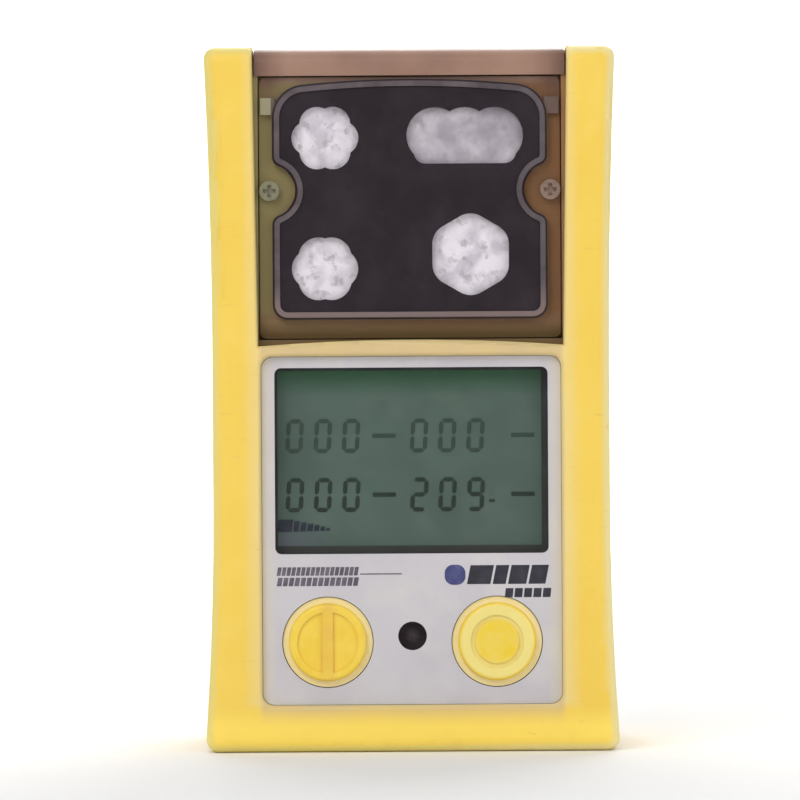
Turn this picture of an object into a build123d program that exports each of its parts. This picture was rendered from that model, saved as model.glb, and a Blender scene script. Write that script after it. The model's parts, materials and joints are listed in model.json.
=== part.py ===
from build123d import *
import os

# Portable four-gas detector, handheld, about 108 mm tall.
#
# A black two-part case carries a sensor bay above a display and two push buttons. An elastomer
# boot grips the case from the sides, the base and the back, and leaves it open at the front.
# A sprung belt clip hangs on the back, and the charging contacts are in the base.
#
# Millimetres. +X is the wearer's right when facing the display, +Y runs from the display to the
# back, +Z is up. The origin lies on the resting face, under the middle of the case's depth.

# ---------------------------------------------------------------- overall sizes
HEIGHT = 108.4  # resting face to the tops of the boot's arms
WAIST_WIDTH = 61.1  # boot, across its narrowest stretch
DEPTH = 35.0  # boot, front face to back face, without the clip
BASE_FLARE = 1.4  # how far each side stands out at the base, beyond the waist
TOP_FLARE = 1.15  # the same at the top
WAIST_LOW = 38.0  # the base flare ends at this height
TOP_FLARE_DROP = 48.0  # the top flare starts this far below the top

# ---------------------------------------------------------------- boot
BOOT_WALL = 2.2  # side wall at the waist
BOOT_FLOOR = 2.2
BOOT_ROOF = 2.1
BOOT_LIP = 2.6  # front lip, which laps over the case
BOOT_BACK_LIP = 2.0
BOOT_GAP = 0.08  # between the boot and the case
BOOT_FRONT_ROUND = 2.4
BOOT_BACK_ROUND = 3.2
BOOT_BASE_CORNER = 2.0
BOOT_TOP_CORNER = 1.7
BOOT_WINDOW_ROUND = 0.7  # rounded inner edges of the front windows
ARM_WIDTH = 7.1  # each arm beside the sensor bay
LABEL_ARM_WIDTH = 7.5  # each side bar beside the label
BAY_FLARE = 0.75  # how far the bay widens on each side, from its base to the top
BAY_HEIGHT = 46.0  # sensor bay, from its lower corners to the top
BAY_ARCH = 0.9  # rise of the bay's lower edge at the middle
BACK_BAR = 9.8  # back lip's width at the sides, which hides the case screws
BACK_BAR_ENDS = 7.0  # back lip's width at the base and the top
GRIP_COUNT = 5  # grooves on each side of the boot
GRIP_PITCH = 6.0
GRIP_RADIUS = 1.5
GRIP_DEPTH = 0.6
GRIP_HEIGHT = 50.0  # middle of the grooves, above the resting face
GRIP_INSET = 8.0  # ends of the grooves, from the boot's front and back faces

# ---------------------------------------------------------------- case
CASE_WALL = 1.8
CASE_CORNER = 3.0
CASE_EDGE = 0.8
SPLIT_Y = 3.5  # plane where the two shells meet
POST_RADIUS = 2.3  # display board's posts
SCREW_RELIEF = 3.0  # clear hole beyond a case screw's insert
GASKET_WIDTH = 0.8
GASKET_DEPTH = 0.8
BOSS_RADIUS = 2.7
BOSS_INSET = 4.7  # case screw axis, from the case's side
BOSS_END_INSET = 6.6  # case screw axis, from the case's lower or upper end
FIT = 0.2  # assembly clearance between neighbouring pieces

RIB_COUNT = 10  # low ribs on the back, on each side of the clip
RIB_PITCH = 3.6
RIB_BASE = 19.0
RIB_HALF = 0.5
RIB_RISE = 0.4
RIB_START = 11.5
RIB_END = 17.5
CLIP_BOSS_RADIUS = 2.4
CLIP_BOSS_LENGTH = 3.0
REAR_LABEL_HALF = 17.0
REAR_LABEL_HEIGHT = 10.5
REAR_LABEL_GAP = 3.0  # above the clip's bracket
REAR_LABEL_THICKNESS = 0.25

# ---------------------------------------------------------------- label and display
LABEL_BASE = 7.25  # height of the label's lower edge
LABEL_HEIGHT = 53.55
LABEL_CORNER = 1.8
LABEL_THICKNESS = 0.35
LABEL_GAP = 0.06  # around the label and the pad behind it
PAD_RISE = 0.9  # the case stands this far forward behind the label
WINDOW_WIDTH = 42.0
WINDOW_HEIGHT = 28.6
WINDOW_TOP_MARGIN = 1.75  # from the label's upper edge
WINDOW_CORNER = 1.0
LENS_LEDGE = 1.2
LENS_THICKNESS = 1.4
LCD_MARGIN = 0.9
LCD_THICKNESS = 2.0
GLASS_STEP = 1.2  # front glass shorter than the rear one, at each end
LCD_FRAME_WALL = 1.2
BACKLIGHT_THICKNESS = 2.2
ZEBRA_WIDTH = 1.4
ZEBRA_INSET = 2.0  # strip's ends, from the window's sides
ZEBRA_MARGIN = 2.4  # room for one zebra strip beside the backlight

# ---------------------------------------------------------------- buttons and sounder
BUTTON_DIAMETER = 12.0
BUTTON_SKIRT = 0.9  # radial step from the cap to its skirt
BUTTON_SPACING = 26.0
BUTTON_HEIGHT = 16.9  # centre, above the resting face
BUTTON_PROUD = 0.9  # cap above the label
BUTTON_TRAVEL = 0.8
BUTTON_FLANGE = 0.9  # radial step from the skirt to the retaining flange
BUTTON_FLANGE_THICKNESS = 1.2
BUTTON_SLIDE_GAP = 0.12  # around the skirt
FLANGE_REST = 0.05  # retaining flange, behind the shell's inner face
BUTTON_ROUND = 0.7
MARK_DEPTH = 0.35  # relief on the caps
MARK_RIM = 1.3  # left button's dish, from the cap's edge
BAR_HALF = 0.8
RING_RIM = 1.9  # right button's groove, from the cap's edge
RING_GROOVE = 0.8
STEM_RADIUS = 1.7
DOME_RADIUS = 3.9
DOME_HEIGHT = 2.4
DOME_WALL = 0.6
PORT_DIAMETER = 4.4  # sounder port
PORT_HEIGHT = 17.8
SOUNDER_DIAMETER = 9.4
SOUNDER_GASKET = 1.0
MEMBRANE_THICKNESS = 0.3
MEMBRANE_MARGIN = 1.4  # past the port's edge
SOUNDER_HOLE = 1.0  # radius
SOUNDER_HOLE_DEPTH = 1.2

# ---------------------------------------------------------------- sensor bay
COVER_SETBACK = 1.3  # cover's face, behind the boot's face
COVER_PAD = 1.7  # raised part of the cover
COVER_FLANGE = 1.1
COVER_HALF = 21.2
COVER_TOP_CORNER = 5.2
COVER_BASE_CORNER = 2.4
COVER_ARCH = 1.4
COVER_RIM = 1.2  # raised bead along the cover's edge
COVER_RIM_HEIGHT = 0.3
COVER_CHAMFER = 0.45
FLANGE_CORNER = 1.0
LUG_HALF = 1.3  # small lug beside each upper corner
LUG_RISE = 0.9
LUG_DROP = 9.1  # below the boot's top
COVER_BASE_GAP = 4.0  # from the bay's lower corners to the raised part
PAD_TOP_GAP = 0.3  # from the raised part's arch to the flange's edge
NOTCH_RADIUS = 4.0
NOTCH_OUTSET = 0.4  # notch and screw axis, outside the raised part's side
NOTCH_ROUND = 1.6
NOTCH_DROP = 22.1  # notch and screw axis, below the boot's top
FLANGE_GAP = 0.3  # flange to the boot's arm
SEAL_THICKNESS = 0.6
DECK = 2.4  # wall under the cover
DECK_LEDGE = 1.0  # deck below the bay's lower corners
SENSOR_DIAMETER = 19.0
SENSOR_DEPTH = 14.0
SENSOR_PITCH_X = 21.8
SENSOR_PITCH_Z = 19.6
SENSOR_SHIFT_X = -1.7  # the group sits left of centre
SENSOR_TOP_DROP = 6.6  # top of the upper sensors, below the boot's top
HOLDER_DEPTH = 8.0
HOLDER_GAP = 0.1
HOLDER_WALL = 1.2
COLUMN_RADIUS = 2.4  # main board's screw columns
COLUMN_HALF = 2.0  # web that ties a column to the tray
COLUMN_INSET = 4.1  # right-hand columns, from the case's inner wall
LEFT_COLUMN_INSET = 3.3
UPPER_COLUMN_DROP = 2.0  # below the upper sensors' middle
LOWER_COLUMN_DROP = 3.4  # below the lower sensors' middle
PIN_LENGTH = 0.8
PIN_RADIUS = 0.75
PIN_INSET = 3.0  # from the sensor's rim
SENSOR_ROUND = 0.6
INLET_RADIUS = 3.0
INLET_DEPTH = 0.6
FILTER_THICKNESS = 1.5
FILTER_LAP = 0.8
GAS_WAY_MARGIN = 1.2  # from a port's edge to the hole behind it
# Each gas port: shift from its sensor's axis (across, up), reach, and the radius of its lobes.
CARBON_MONOXIDE_PORT = (-0.4, 2.1, 5.15, 2.7)
HYDROGEN_SULFIDE_PORT = (-0.5, 1.6, 5.1, 3.1)
COMBUSTIBLE_PORT = (0.1, 3.7, 6.3, 3.2)
OXYGEN_SHIFT = (-0.7, 2.4)
OXYGEN_LOBE = 4.35
OXYGEN_PITCH = 4.6
OXYGEN_CORNER = 1.8

# ---------------------------------------------------------------- alarm light
LIGHT_HEIGHT = 4.35  # bar's front face, below its top
LIGHT_TOP_DROP = 0.05  # bar's top, below the arms' tops
LIGHT_SETBACK = 2.2
LIGHT_DEPTH = 16.8
LIGHT_RUN = 2.6  # depth of the front's curve
LIGHT_ROUND = 3.4
LIGHT_WALL = 1.2
LIGHT_FRONT_WALL = 3.1
LIGHT_NOSE = 2.1  # height of the front's curve, below the top
STRIP_GAP = 1.0  # LED strip, behind the lens's front wall
STRIP_INSET = 3.2  # strip's ends, from the lens's ends
STRIP_DEPTH = 7.0
STRIP_THICKNESS = 0.8
LAMP_PITCH = 14.0
LAMP_PLACE = 2.0  # lamp's middle, behind the strip's front edge
LAMP_HALF = 1.5
LAMP_HEIGHT = 1.2
LAMP_CORNER = 0.4

# ---------------------------------------------------------------- boards and battery
BOARD = 1.2
BOARD_GAP = 0.8  # board edge to the case wall
BOSS_CLEARANCE = 0.4  # board edge to a screw boss
POST_INSET = 3.6  # board post's axis, from the case's inner wall
POST_RISE = 8.4  # and above the buttons' centres
DISPLAY_BOARD_DROP = 7.2  # board's front face, behind the case's front
MAIN_BOARD_MARGIN = 3.6  # board's lower edge, below the sensors
LINK_HALF = 8.0  # flexible link between the boards
LINK_THICKNESS = 0.3
LINK_LAP = 2.5  # stretch that lies on each board
SHIELD_SPAN = (-17.0, 3.0)
SHIELD_RISE = 6.0  # middle, above the sensors' middle
SHIELD_HALF = 8.0
SHIELD_DEPTH = 2.6
SHIELD_SHEET = 0.3
SHIELD_CORNER = 1.2
CONNECTOR_SPAN = (8.0, 18.0)
CONNECTOR_RISE = 5.0  # top, above the main board's lower edge
CONNECTOR_OVERHANG = 1.1  # past the middle of the battery's depth
BATTERY_WIDTH = 41.0
BATTERY_HEIGHT = 48.0
BATTERY_DEPTH = 9.0
BATTERY_BASE = 6.4
BATTERY_CORNER = 2.4
BATTERY_BOARD_INSET = 1.5
CRADLE_SETBACK = 2.0  # cradle's edge, behind the battery's front
CRADLE_WALL = 1.0
MOTOR_RADIUS = 3.2
MOTOR_LENGTH = 11.0
MOTOR_HEIGHT = 50.0
WEIGHT_RADIUS = 3.0
WEIGHT_LENGTH = 4.0
WEIGHT_GAP = 0.6  # from the motor's nose
WEIGHT_FLAT = 0.9  # flat's height above the shaft's axis
SHAFT_RADIUS = 0.6
SHAFT_GAP = 0.05
SHAFT_REACH = 3.4  # shaft inside the motor
SADDLE_INSET = 1.5
SADDLE_WALL = 1.0
SADDLE_WRAP = 1.2  # saddle's edge, behind the motor's axis

# ---------------------------------------------------------------- charging contacts
CONTACT_COUNT = 4
CONTACT_PITCH = 5.0
CONTACT_RADIUS = 1.2
CONTACT_Y = -3.6
CONTACT_BLOCK_HALF = 1.9
CONTACT_SLOT_HALF = 2.2
CONTACT_RISE = 3.0
CONTACT_BLOCK_RISE = 2.2

# ---------------------------------------------------------------- belt clip
CLIP_WIDTH = 18.0
CLIP_SHEET = 1.2
CLIP_DROP = 37.0  # hinge pin, below the boot's top
CLIP_LENGTH = 48.0  # pin to the jaw's tip
CLIP_PIN_RADIUS = 1.2
SPRING_RADIUS = 1.9  # coil, to the middle of the wire
SPRING_WIRE = 0.7
SPRING_TURNS = 5.5
SPRING_LEG = 3.4  # short, so that the legs stay between the lever and the bracket
SPRING_GAP = 0.1  # coil to the bracket and to the lever
SPRING_TURN_GAP = 0.15
PIN_PROUD = 0.4
PIN_CHAMFER = 0.25
PIN_SLACK = 0.05  # lever's holes, round the pin
CLIP_SCREW_RISES = (-8.5, 9.5)  # from the pin
TAB_RISE = 17.0  # thumb tab's top, above the pin
TAB_FLARE = 4.4
TAB_BEND_RISE = 7.0  # above the pin
JAW_BEND_DROP = 6.0  # below the pin
JAW_LEAN = 0.6
JAW_TURN_RISE = 9.0  # jaw's turn towards the case, above the tip
TIP_RISE = 2.6
TIP_DROP = 1.6
LEVER_BEND = 6.0
TIP_BEND = 1.6
BRACKET_CORNER = 2.0
BRACKET_LENGTH = 28.0
BRACKET_EAR = 1.4
EAR_RADIUS = 2.6  # bracket's ears
LUG_RADIUS = 2.3  # lever's lugs
CLIP_SIDE_GAP = 0.3
TIP_GAP = 0.35

# ---------------------------------------------------------------- fasteners
CASE_SCREW_RADIUS = 1.25
CASE_HEAD_RADIUS = 2.3
CASE_HEAD_HEIGHT = 1.6
INSERT_RADIUS = 2.0
INSERT_LENGTH = 5.0
THREAD_GAP = 0.02
SMALL_SCREW_RADIUS = 0.9
SMALL_HEAD_RADIUS = 1.7
SMALL_HEAD_HEIGHT = 1.2
SMALL_SCREW_REACH = 3.5  # thread below the board
COVER_HEAD_RADIUS = 1.55
CLIP_HEAD_RADIUS = 2.2
CLIP_HEAD_HEIGHT = 0.7
SCREW_SINK = 0.4  # case screw heads, below the rear face
CROSS_DEPTH = 0.5  # cross recess
CROSS_HALF = 0.3
CROSS_REACH = 0.62  # of the head's radius

# ---------------------------------------------------------------- modelling allowances
RUN = 1.0  # how far a cut runs past the face where it starts
NEAR = 0.01  # faces and corners closer than this count as the same place
LAP = 0.5  # how far a joined feature runs into the body that it grows from

# ---------------------------------------------------------------- places that follow
waist_half = WAIST_WIDTH / 2
base_half = waist_half + BASE_FLARE
top_half = waist_half + TOP_FLARE
boot_front = -DEPTH / 2
boot_back = DEPTH / 2

case_half = waist_half - BOOT_WALL - BOOT_GAP
case_base = BOOT_FLOOR + BOOT_GAP
case_top = HEIGHT - BOOT_ROOF - BOOT_GAP
case_front = boot_front + BOOT_LIP + BOOT_GAP
case_back = boot_back - BOOT_BACK_LIP - BOOT_GAP
inner_half = case_half - CASE_WALL
inner_base = case_base + CASE_WALL
inner_front = case_front + CASE_WALL
inner_back = case_back - CASE_WALL
boss_x = case_half - BOSS_INSET
boss_heights = (case_base + BOSS_END_INSET, case_top - BOSS_END_INSET)
boss_places = [(side * boss_x, z) for side in (-1, 1) for z in boss_heights]

bay_base = HEIGHT - BAY_HEIGHT
bay_base_half = waist_half - ARM_WIDTH
bay_top_half = bay_base_half + BAY_FLARE
label_half = waist_half - LABEL_ARM_WIDTH
label_top = LABEL_BASE + LABEL_HEIGHT
pad_front = case_front - PAD_RISE
label_front = pad_front - LABEL_THICKNESS
window_top = label_top - WINDOW_TOP_MARGIN
window_mid = window_top - WINDOW_HEIGHT / 2
lens_back = pad_front + LENS_THICKNESS

display_board_front = case_front + DISPLAY_BOARD_DROP
display_board_back = display_board_front + BOARD
lcd_width = WINDOW_WIDTH + 2 * LCD_MARGIN
lcd_height = WINDOW_HEIGHT + 2 * LCD_MARGIN
lcd_back = inner_front + LCD_THICKNESS
display_board_top = window_top + LCD_MARGIN + LCD_FRAME_WALL + LAP

skirt_radius = BUTTON_DIAMETER / 2 + BUTTON_SKIRT
flange_radius = skirt_radius + BUTTON_FLANGE
button_hole = skirt_radius + BUTTON_SLIDE_GAP
dome_top = display_board_front - DOME_HEIGHT
button_places = {"mode": -BUTTON_SPACING / 2, "enter": BUTTON_SPACING / 2}
sounder_front = inner_front + MEMBRANE_THICKNESS + SOUNDER_GASKET

cover_front = boot_front + COVER_SETBACK
flange_front = cover_front + COVER_PAD
cover_back = flange_front + COVER_FLANGE
deck_front = cover_back + SEAL_THICKNESS
deck_back = deck_front + DECK
sensor_back = deck_back + SENSOR_DEPTH
main_board_front = sensor_back + PIN_LENGTH
main_board_back = main_board_front + BOARD
flange_half = bay_base_half - FLANGE_GAP
flange_base = bay_base + BAY_ARCH + FLANGE_GAP
light_top = HEIGHT - LIGHT_TOP_DROP
light_base = light_top - LIGHT_HEIGHT
light_front = boot_front + LIGHT_SETBACK
light_back = light_front + LIGHT_DEPTH
light_half = bay_top_half - FLANGE_GAP
flange_top = light_base - FIT
pad_base = bay_base + COVER_BASE_GAP
pad_top = flange_top - COVER_ARCH - PAD_TOP_GAP
notch_x = COVER_HALF + NOTCH_OUTSET
notch_z = HEIGHT - NOTCH_DROP

sensor_radius = SENSOR_DIAMETER / 2
sensor_columns = [SENSOR_SHIFT_X + side * SENSOR_PITCH_X / 2 for side in (-1, 1)]
upper_row = HEIGHT - SENSOR_TOP_DROP - sensor_radius
lower_row = upper_row - SENSOR_PITCH_Z
holder_back = deck_back + HOLDER_DEPTH
main_board_base = lower_row - sensor_radius - MAIN_BOARD_MARGIN
column_places = [
    (inner_half - COLUMN_INSET, upper_row - UPPER_COLUMN_DROP),
    (inner_half - COLUMN_INSET, lower_row - LOWER_COLUMN_DROP),
    (-inner_half + LEFT_COLUMN_INSET, (upper_row + lower_row) / 2),
]

battery_back = inner_back - CRADLE_WALL - FIT
battery_front = battery_back - BATTERY_DEPTH
battery_top = BATTERY_BASE + BATTERY_HEIGHT
motor_y = display_board_back + MOTOR_RADIUS + FIT

bracket_face = case_back + CLIP_SHEET
clip_pin_y = bracket_face + SPRING_RADIUS + SPRING_WIRE / 2 + SPRING_GAP
clip_pin_z = HEIGHT - CLIP_DROP
lever_inner = clip_pin_y + SPRING_RADIUS + SPRING_WIRE / 2 + SPRING_GAP
ear_inner = CLIP_WIDTH / 2 + CLIP_SIDE_GAP


# ---------------------------------------------------------------- drawing helpers
def block(x, y, z):
    """A box between pairs of coordinates."""
    size = [high - low for low, high in (x, y, z)]
    middle = [(high + low) / 2 for low, high in (x, y, z)]
    return Pos(*middle) * Box(*size)


def plate(outline, front, back):
    """A sketch drawn in X and Z, made solid from y = front to y = back."""
    return extrude(Plane.XZ.offset(-back) * outline, back - front)


def rod_x(y, z, radius, start, end):
    return Pos((start + end) / 2, y, z) * Rot(0, 90, 0) * Cylinder(radius, end - start)


def rod_y(x, z, radius, start, end):
    return Pos(x, (start + end) / 2, z) * Rot(90, 0, 0) * Cylinder(radius, end - start)


def rod_z(x, y, radius, start, end):
    return Pos(x, y, (start + end) / 2) * Cylinder(radius, end - start)


def ring_y(x, z, outer, inner, start, end):
    return rod_y(x, z, outer, start, end) - rod_y(x, z, inner, start - RUN, end + RUN)


def panel(half_width, base, top, corner):
    """A rounded rectangle in X and Z, centred on x = 0."""
    shape = RectangleRounded(2 * half_width, top - base, corner)
    return Pos(0, (base + top) / 2) * shape


def group(solids):
    return Compound(children=list(solids))


def edges_at(part, y):
    """The edges that lie flat in the plane at this y."""
    flat = []
    for edge in part.edges():
        span = edge.bounding_box()
        if abs(span.min.Y - y) < NEAR and abs(span.max.Y - y) < NEAR:
            flat.append(edge)
    return ShapeList(flat)


def screw(x, z, head_radius, head_height, radius, head_face, tip, facing=-1):
    """A pan head with its shank, along Y. facing is -1 for a head at the front, 1 for the back."""
    head = rod_y(x, z, head_radius, *sorted((head_face, head_face - facing * head_height)))
    under = head_face - facing * head_height
    shank = rod_y(x, z, radius, *sorted((under, tip)))
    slot = block((x - head_radius, x + head_radius), sorted((head_face, head_face - facing * CROSS_DEPTH)),
                 (z - CROSS_HALF, z + CROSS_HALF))
    cross = block((x - CROSS_HALF, x + CROSS_HALF), sorted((head_face, head_face - facing * CROSS_DEPTH)),
                  (z - head_radius, z + head_radius))
    reach = rod_y(x, z, head_radius * CROSS_REACH, *sorted((head_face, head_face - facing * CROSS_DEPTH)))
    return head + shank - ((slot + cross) & reach)


# ---------------------------------------------------------------- boot
def boot_outline():
    """Front view: a narrow waist that flares to the base and, less, to the top."""
    waist_high = HEIGHT - TOP_FLARE_DROP
    sides = []
    for side in (-1, 1):
        low = (side * waist_half, WAIST_LOW)
        high = (side * waist_half, waist_high)
        sides += [
            TangentArc(low, (side * base_half, 0), tangent=(0, -1)),
            Line(low, high),
            TangentArc(high, (side * top_half, HEIGHT), tangent=(0, 1)),
        ]
    ends = [Line((-base_half, 0), (base_half, 0)), Line((-top_half, HEIGHT), (top_half, HEIGHT))]
    shape = make_face(sides + ends)
    by_height = shape.vertices().sort_by(Axis.Y)
    shape = fillet(by_height[:2], BOOT_BASE_CORNER)
    return fillet(shape.vertices().sort_by(Axis.Y)[-2:], BOOT_TOP_CORNER)


def case_block(grow=0.0):
    """The closed case's outer shape. The boot's cavity is the same shape, grown by its gap."""
    outline = panel(case_half + grow, case_base - grow, case_top + grow, CASE_CORNER + grow)
    body = plate(outline, case_front - grow, case_back + grow)
    rims = edges_at(body, case_front - grow) + edges_at(body, case_back + grow)
    return fillet(rims, CASE_EDGE)


def bay_window():
    """Front view of the opening over the sensor bay, open at the top."""
    lower = ThreePointArc((-bay_base_half, bay_base), (0, bay_base + BAY_ARCH), (bay_base_half, bay_base))
    over = HEIGHT + 5 * RUN
    upper = Polyline((bay_base_half, bay_base), (bay_top_half, HEIGHT), (bay_top_half, over),
                     (-bay_top_half, over), (-bay_top_half, HEIGHT), (-bay_base_half, bay_base))
    return make_face([lower, upper])


def protective_boot():
    body = plate(boot_outline(), boot_front, boot_back)
    body = fillet(edges_at(body, boot_front), BOOT_FRONT_ROUND)
    body = fillet(edges_at(body, boot_back), BOOT_BACK_ROUND)
    front = (boot_front - RUN, boot_front + BOOT_LIP)
    body -= plate(bay_window(), *front)
    body -= plate(panel(label_half, LABEL_BASE, label_top, LABEL_CORNER), *front)
    # Only the bay's and the label's own edges: the outer ones are round already.
    rims = [edge for edge in edges_at(body, boot_front)
            if abs(edge.center().X) < bay_top_half and edge.center().Z > LABEL_BASE / 2]
    body = fillet(rims, BOOT_WINDOW_ROUND)
    body -= case_block(BOOT_GAP)
    rear = panel(waist_half - BACK_BAR, BACK_BAR_ENDS, HEIGHT - BACK_BAR_ENDS, LABEL_CORNER)
    body -= plate(rear, inner_back, boot_back + RUN)
    # The roof is open over the alarm light, and the floor over the charging contacts.
    body -= block((-bay_top_half, bay_top_half), (boot_front + BOOT_LIP - FIT / 2, light_back + 2 * FIT),
                  (case_top - CASE_WALL, HEIGHT + RUN))
    slot = CONTACT_PITCH * CONTACT_COUNT
    body -= block((-slot / 2, slot / 2), (CONTACT_Y - CONTACT_SLOT_HALF, CONTACT_Y + CONTACT_SLOT_HALF),
                  (-RUN, case_base + RUN))
    for groove in grip_grooves():
        body -= groove
    return body


def grip_grooves():
    """Scooped finger grooves along each side, with round ends."""
    start, end = boot_front + GRIP_INSET, boot_back - GRIP_INSET
    grooves = []
    for side in (-1, 1):
        x = side * (waist_half + GRIP_RADIUS - GRIP_DEPTH)
        for index in range(GRIP_COUNT):
            z = GRIP_HEIGHT + (index - (GRIP_COUNT - 1) / 2) * GRIP_PITCH
            groove = rod_y(x, z, GRIP_RADIUS, start, end)
            groove += Pos(x, start, z) * Sphere(GRIP_RADIUS)
            grooves.append(groove + Pos(x, end, z) * Sphere(GRIP_RADIUS))
    return grooves


# ---------------------------------------------------------------- case shells
def front_shell():
    half = block((-case_half - RUN, case_half + RUN), (case_front - RUN, SPLIT_Y), (0, HEIGHT))
    body = case_block() & half
    body -= block((-inner_half, inner_half), (inner_front, SPLIT_Y + RUN), (inner_base, case_top - CASE_WALL))
    # The roof steps down under the alarm light.
    roof = light_base - CASE_WALL
    body += block((-inner_half - LAP, inner_half + LAP), (inner_front, light_back + CASE_WALL),
                  (roof, case_top - CASE_WALL))
    body -= block((-light_half - FIT / 2, light_half + FIT / 2), (case_front - RUN, light_back + FIT / 2),
                  (light_base, HEIGHT))
    # Deck under the sensor cover.
    deck_base = bay_base - DECK_LEDGE
    deck = (deck_base, light_base)
    body += block((-inner_half - LAP, inner_half + LAP), (inner_front - FIT, deck_back), deck)
    pocket_half = flange_half + FIT
    pocket = (flange_base - FIT, light_base + RUN)
    body -= block((-pocket_half, pocket_half), (case_front - RUN, deck_front), pocket)
    for hole in deck_holes():
        body -= hole
    # Pad behind the label, with its window, button holes and sounder port.
    pad = panel(label_half - LABEL_GAP, LABEL_BASE + LABEL_GAP, label_top - LABEL_GAP, LABEL_CORNER)
    body += plate(pad, pad_front, case_front + FIT)
    lens = panel(WINDOW_WIDTH / 2 + LENS_LEDGE + FIT / 2, window_top - WINDOW_HEIGHT - LENS_LEDGE - FIT / 2,
                 window_top + LENS_LEDGE + FIT / 2, WINDOW_CORNER)
    body -= plate(lens, pad_front - RUN, lens_back)
    body -= plate(window_outline(), pad_front - RUN, inner_front + RUN)
    for x in button_places.values():
        body -= rod_y(x, BUTTON_HEIGHT, button_hole, pad_front - RUN, inner_front + RUN)
    body -= rod_y(0, PORT_HEIGHT, PORT_DIAMETER / 2, pad_front - RUN, inner_front + RUN)
    # Screw bosses and the display board's posts.
    for x, z in boss_places:
        start = (deck_back if z > bay_base else inner_front) - LAP
        post = rod_y(x, z, BOSS_RADIUS, start, SPLIT_Y)
        body += post
        body -= rod_y(x, z, INSERT_RADIUS, SPLIT_Y - INSERT_LENGTH, SPLIT_Y + RUN)
        body -= rod_y(x, z, CASE_SCREW_RADIUS + FIT, SPLIT_Y - INSERT_LENGTH - SCREW_RELIEF, SPLIT_Y)
    for x, z in board_posts():
        body += rod_y(x, z, POST_RADIUS, inner_front - LAP, display_board_front)
        body -= rod_y(x, z, SMALL_SCREW_RADIUS + THREAD_GAP, display_board_front - SMALL_SCREW_REACH - LAP,
                      display_board_front + RUN)
    for side in (-1, 1):
        body -= rod_y(side * notch_x, notch_z, SMALL_SCREW_RADIUS + THREAD_GAP, deck_front - RUN,
                      deck_back + RUN)
    for x in contact_places():
        body -= rod_z(x, CONTACT_Y, CONTACT_RADIUS, case_base - RUN, inner_base + RUN)
    return body


def deck_holes():
    """Gas ways through the deck, one behind each port."""
    holes = []
    for name, (x, z, _, reach) in ports().items():
        radius = min(reach, sensor_radius) - GAS_WAY_MARGIN
        if name == "oxygen":
            slot = Pos(x, z) * SlotOverall(2 * (reach - GAS_WAY_MARGIN), 2 * (OXYGEN_LOBE - GAS_WAY_MARGIN))
            holes.append(plate(slot, deck_front - RUN, deck_back + RUN))
        else:
            holes.append(rod_y(x, z, radius, deck_front - RUN, deck_back + RUN))
    return holes


def rear_shell():
    half = block((-case_half - RUN, case_half + RUN), (SPLIT_Y, case_back + RUN), (0, HEIGHT))
    body = case_block() & half
    top = case_top - CASE_WALL
    body -= block((-inner_half, inner_half), (SPLIT_Y - RUN, inner_back), (inner_base, top))
    body -= gasket_ring(SPLIT_Y - RUN)
    for x, z in boss_places:
        body += rod_y(x, z, BOSS_RADIUS, SPLIT_Y, inner_back + LAP)
        body -= rod_y(x, z, CASE_SCREW_RADIUS + FIT, SPLIT_Y - RUN, case_back + RUN)
        body -= rod_y(x, z, CASE_HEAD_RADIUS + FIT, case_back - SCREW_SINK - CASE_HEAD_HEIGHT,
                      case_back + RUN)
    for side in (-1, 1):
        for index in range(RIB_COUNT):
            z = RIB_BASE + index * RIB_PITCH
            span = sorted((side * RIB_START, side * RIB_END))
            body += block(span, (case_back - LAP, case_back + RIB_RISE), (z - RIB_HALF, z + RIB_HALF))
    for x, z in clip_screw_places():
        body += rod_y(x, z, CLIP_BOSS_RADIUS, inner_back - CLIP_BOSS_LENGTH, inner_back + LAP)
        body -= rod_y(x, z, CASE_SCREW_RADIUS + THREAD_GAP, inner_back - CLIP_BOSS_LENGTH - RUN,
                      case_back + RUN)
    return body


def gasket_ring(front):
    """The seal between the shells. The rear shell's groove is the same ring."""
    inset = (CASE_WALL - GASKET_WIDTH) / 2
    outer = panel(case_half - inset, case_base + inset, case_top - inset, CASE_CORNER - inset)
    inset += GASKET_WIDTH
    inner = panel(case_half - inset, case_base + inset, case_top - inset, CASE_CORNER - inset)
    return plate(outer - inner, front, SPLIT_Y + GASKET_DEPTH)


def case_screws():
    tip = SPLIT_Y - INSERT_LENGTH - RUN
    seat = case_back - SCREW_SINK
    return group(screw(x, z, CASE_HEAD_RADIUS, CASE_HEAD_HEIGHT, CASE_SCREW_RADIUS, seat, tip, 1)
                 for x, z in boss_places)


def screw_inserts():
    return group(ring_y(x, z, INSERT_RADIUS, CASE_SCREW_RADIUS + THREAD_GAP, SPLIT_Y - INSERT_LENGTH, SPLIT_Y)
                 for x, z in boss_places)


# ---------------------------------------------------------------- label and display
def window_outline():
    return panel(WINDOW_WIDTH / 2, window_top - WINDOW_HEIGHT, window_top, WINDOW_CORNER)


def fascia_label():
    body = plate(panel(label_half - LABEL_GAP, LABEL_BASE + LABEL_GAP, label_top - LABEL_GAP, LABEL_CORNER),
                 label_front, pad_front)
    body -= plate(window_outline(), label_front - RUN, pad_front + RUN)
    for x in button_places.values():
        body -= rod_y(x, BUTTON_HEIGHT, button_hole, label_front - RUN, pad_front + RUN)
    return body - rod_y(0, PORT_HEIGHT, PORT_DIAMETER / 2, label_front - RUN, pad_front + RUN)


def rear_label():
    """Blank rating film on the back, above the clip."""
    low = clip_pin_z + BRACKET_LENGTH / 2 + REAR_LABEL_GAP
    outline = panel(REAR_LABEL_HALF, low, low + REAR_LABEL_HEIGHT, LABEL_CORNER)
    return plate(outline, case_back, case_back + REAR_LABEL_THICKNESS)


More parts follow.
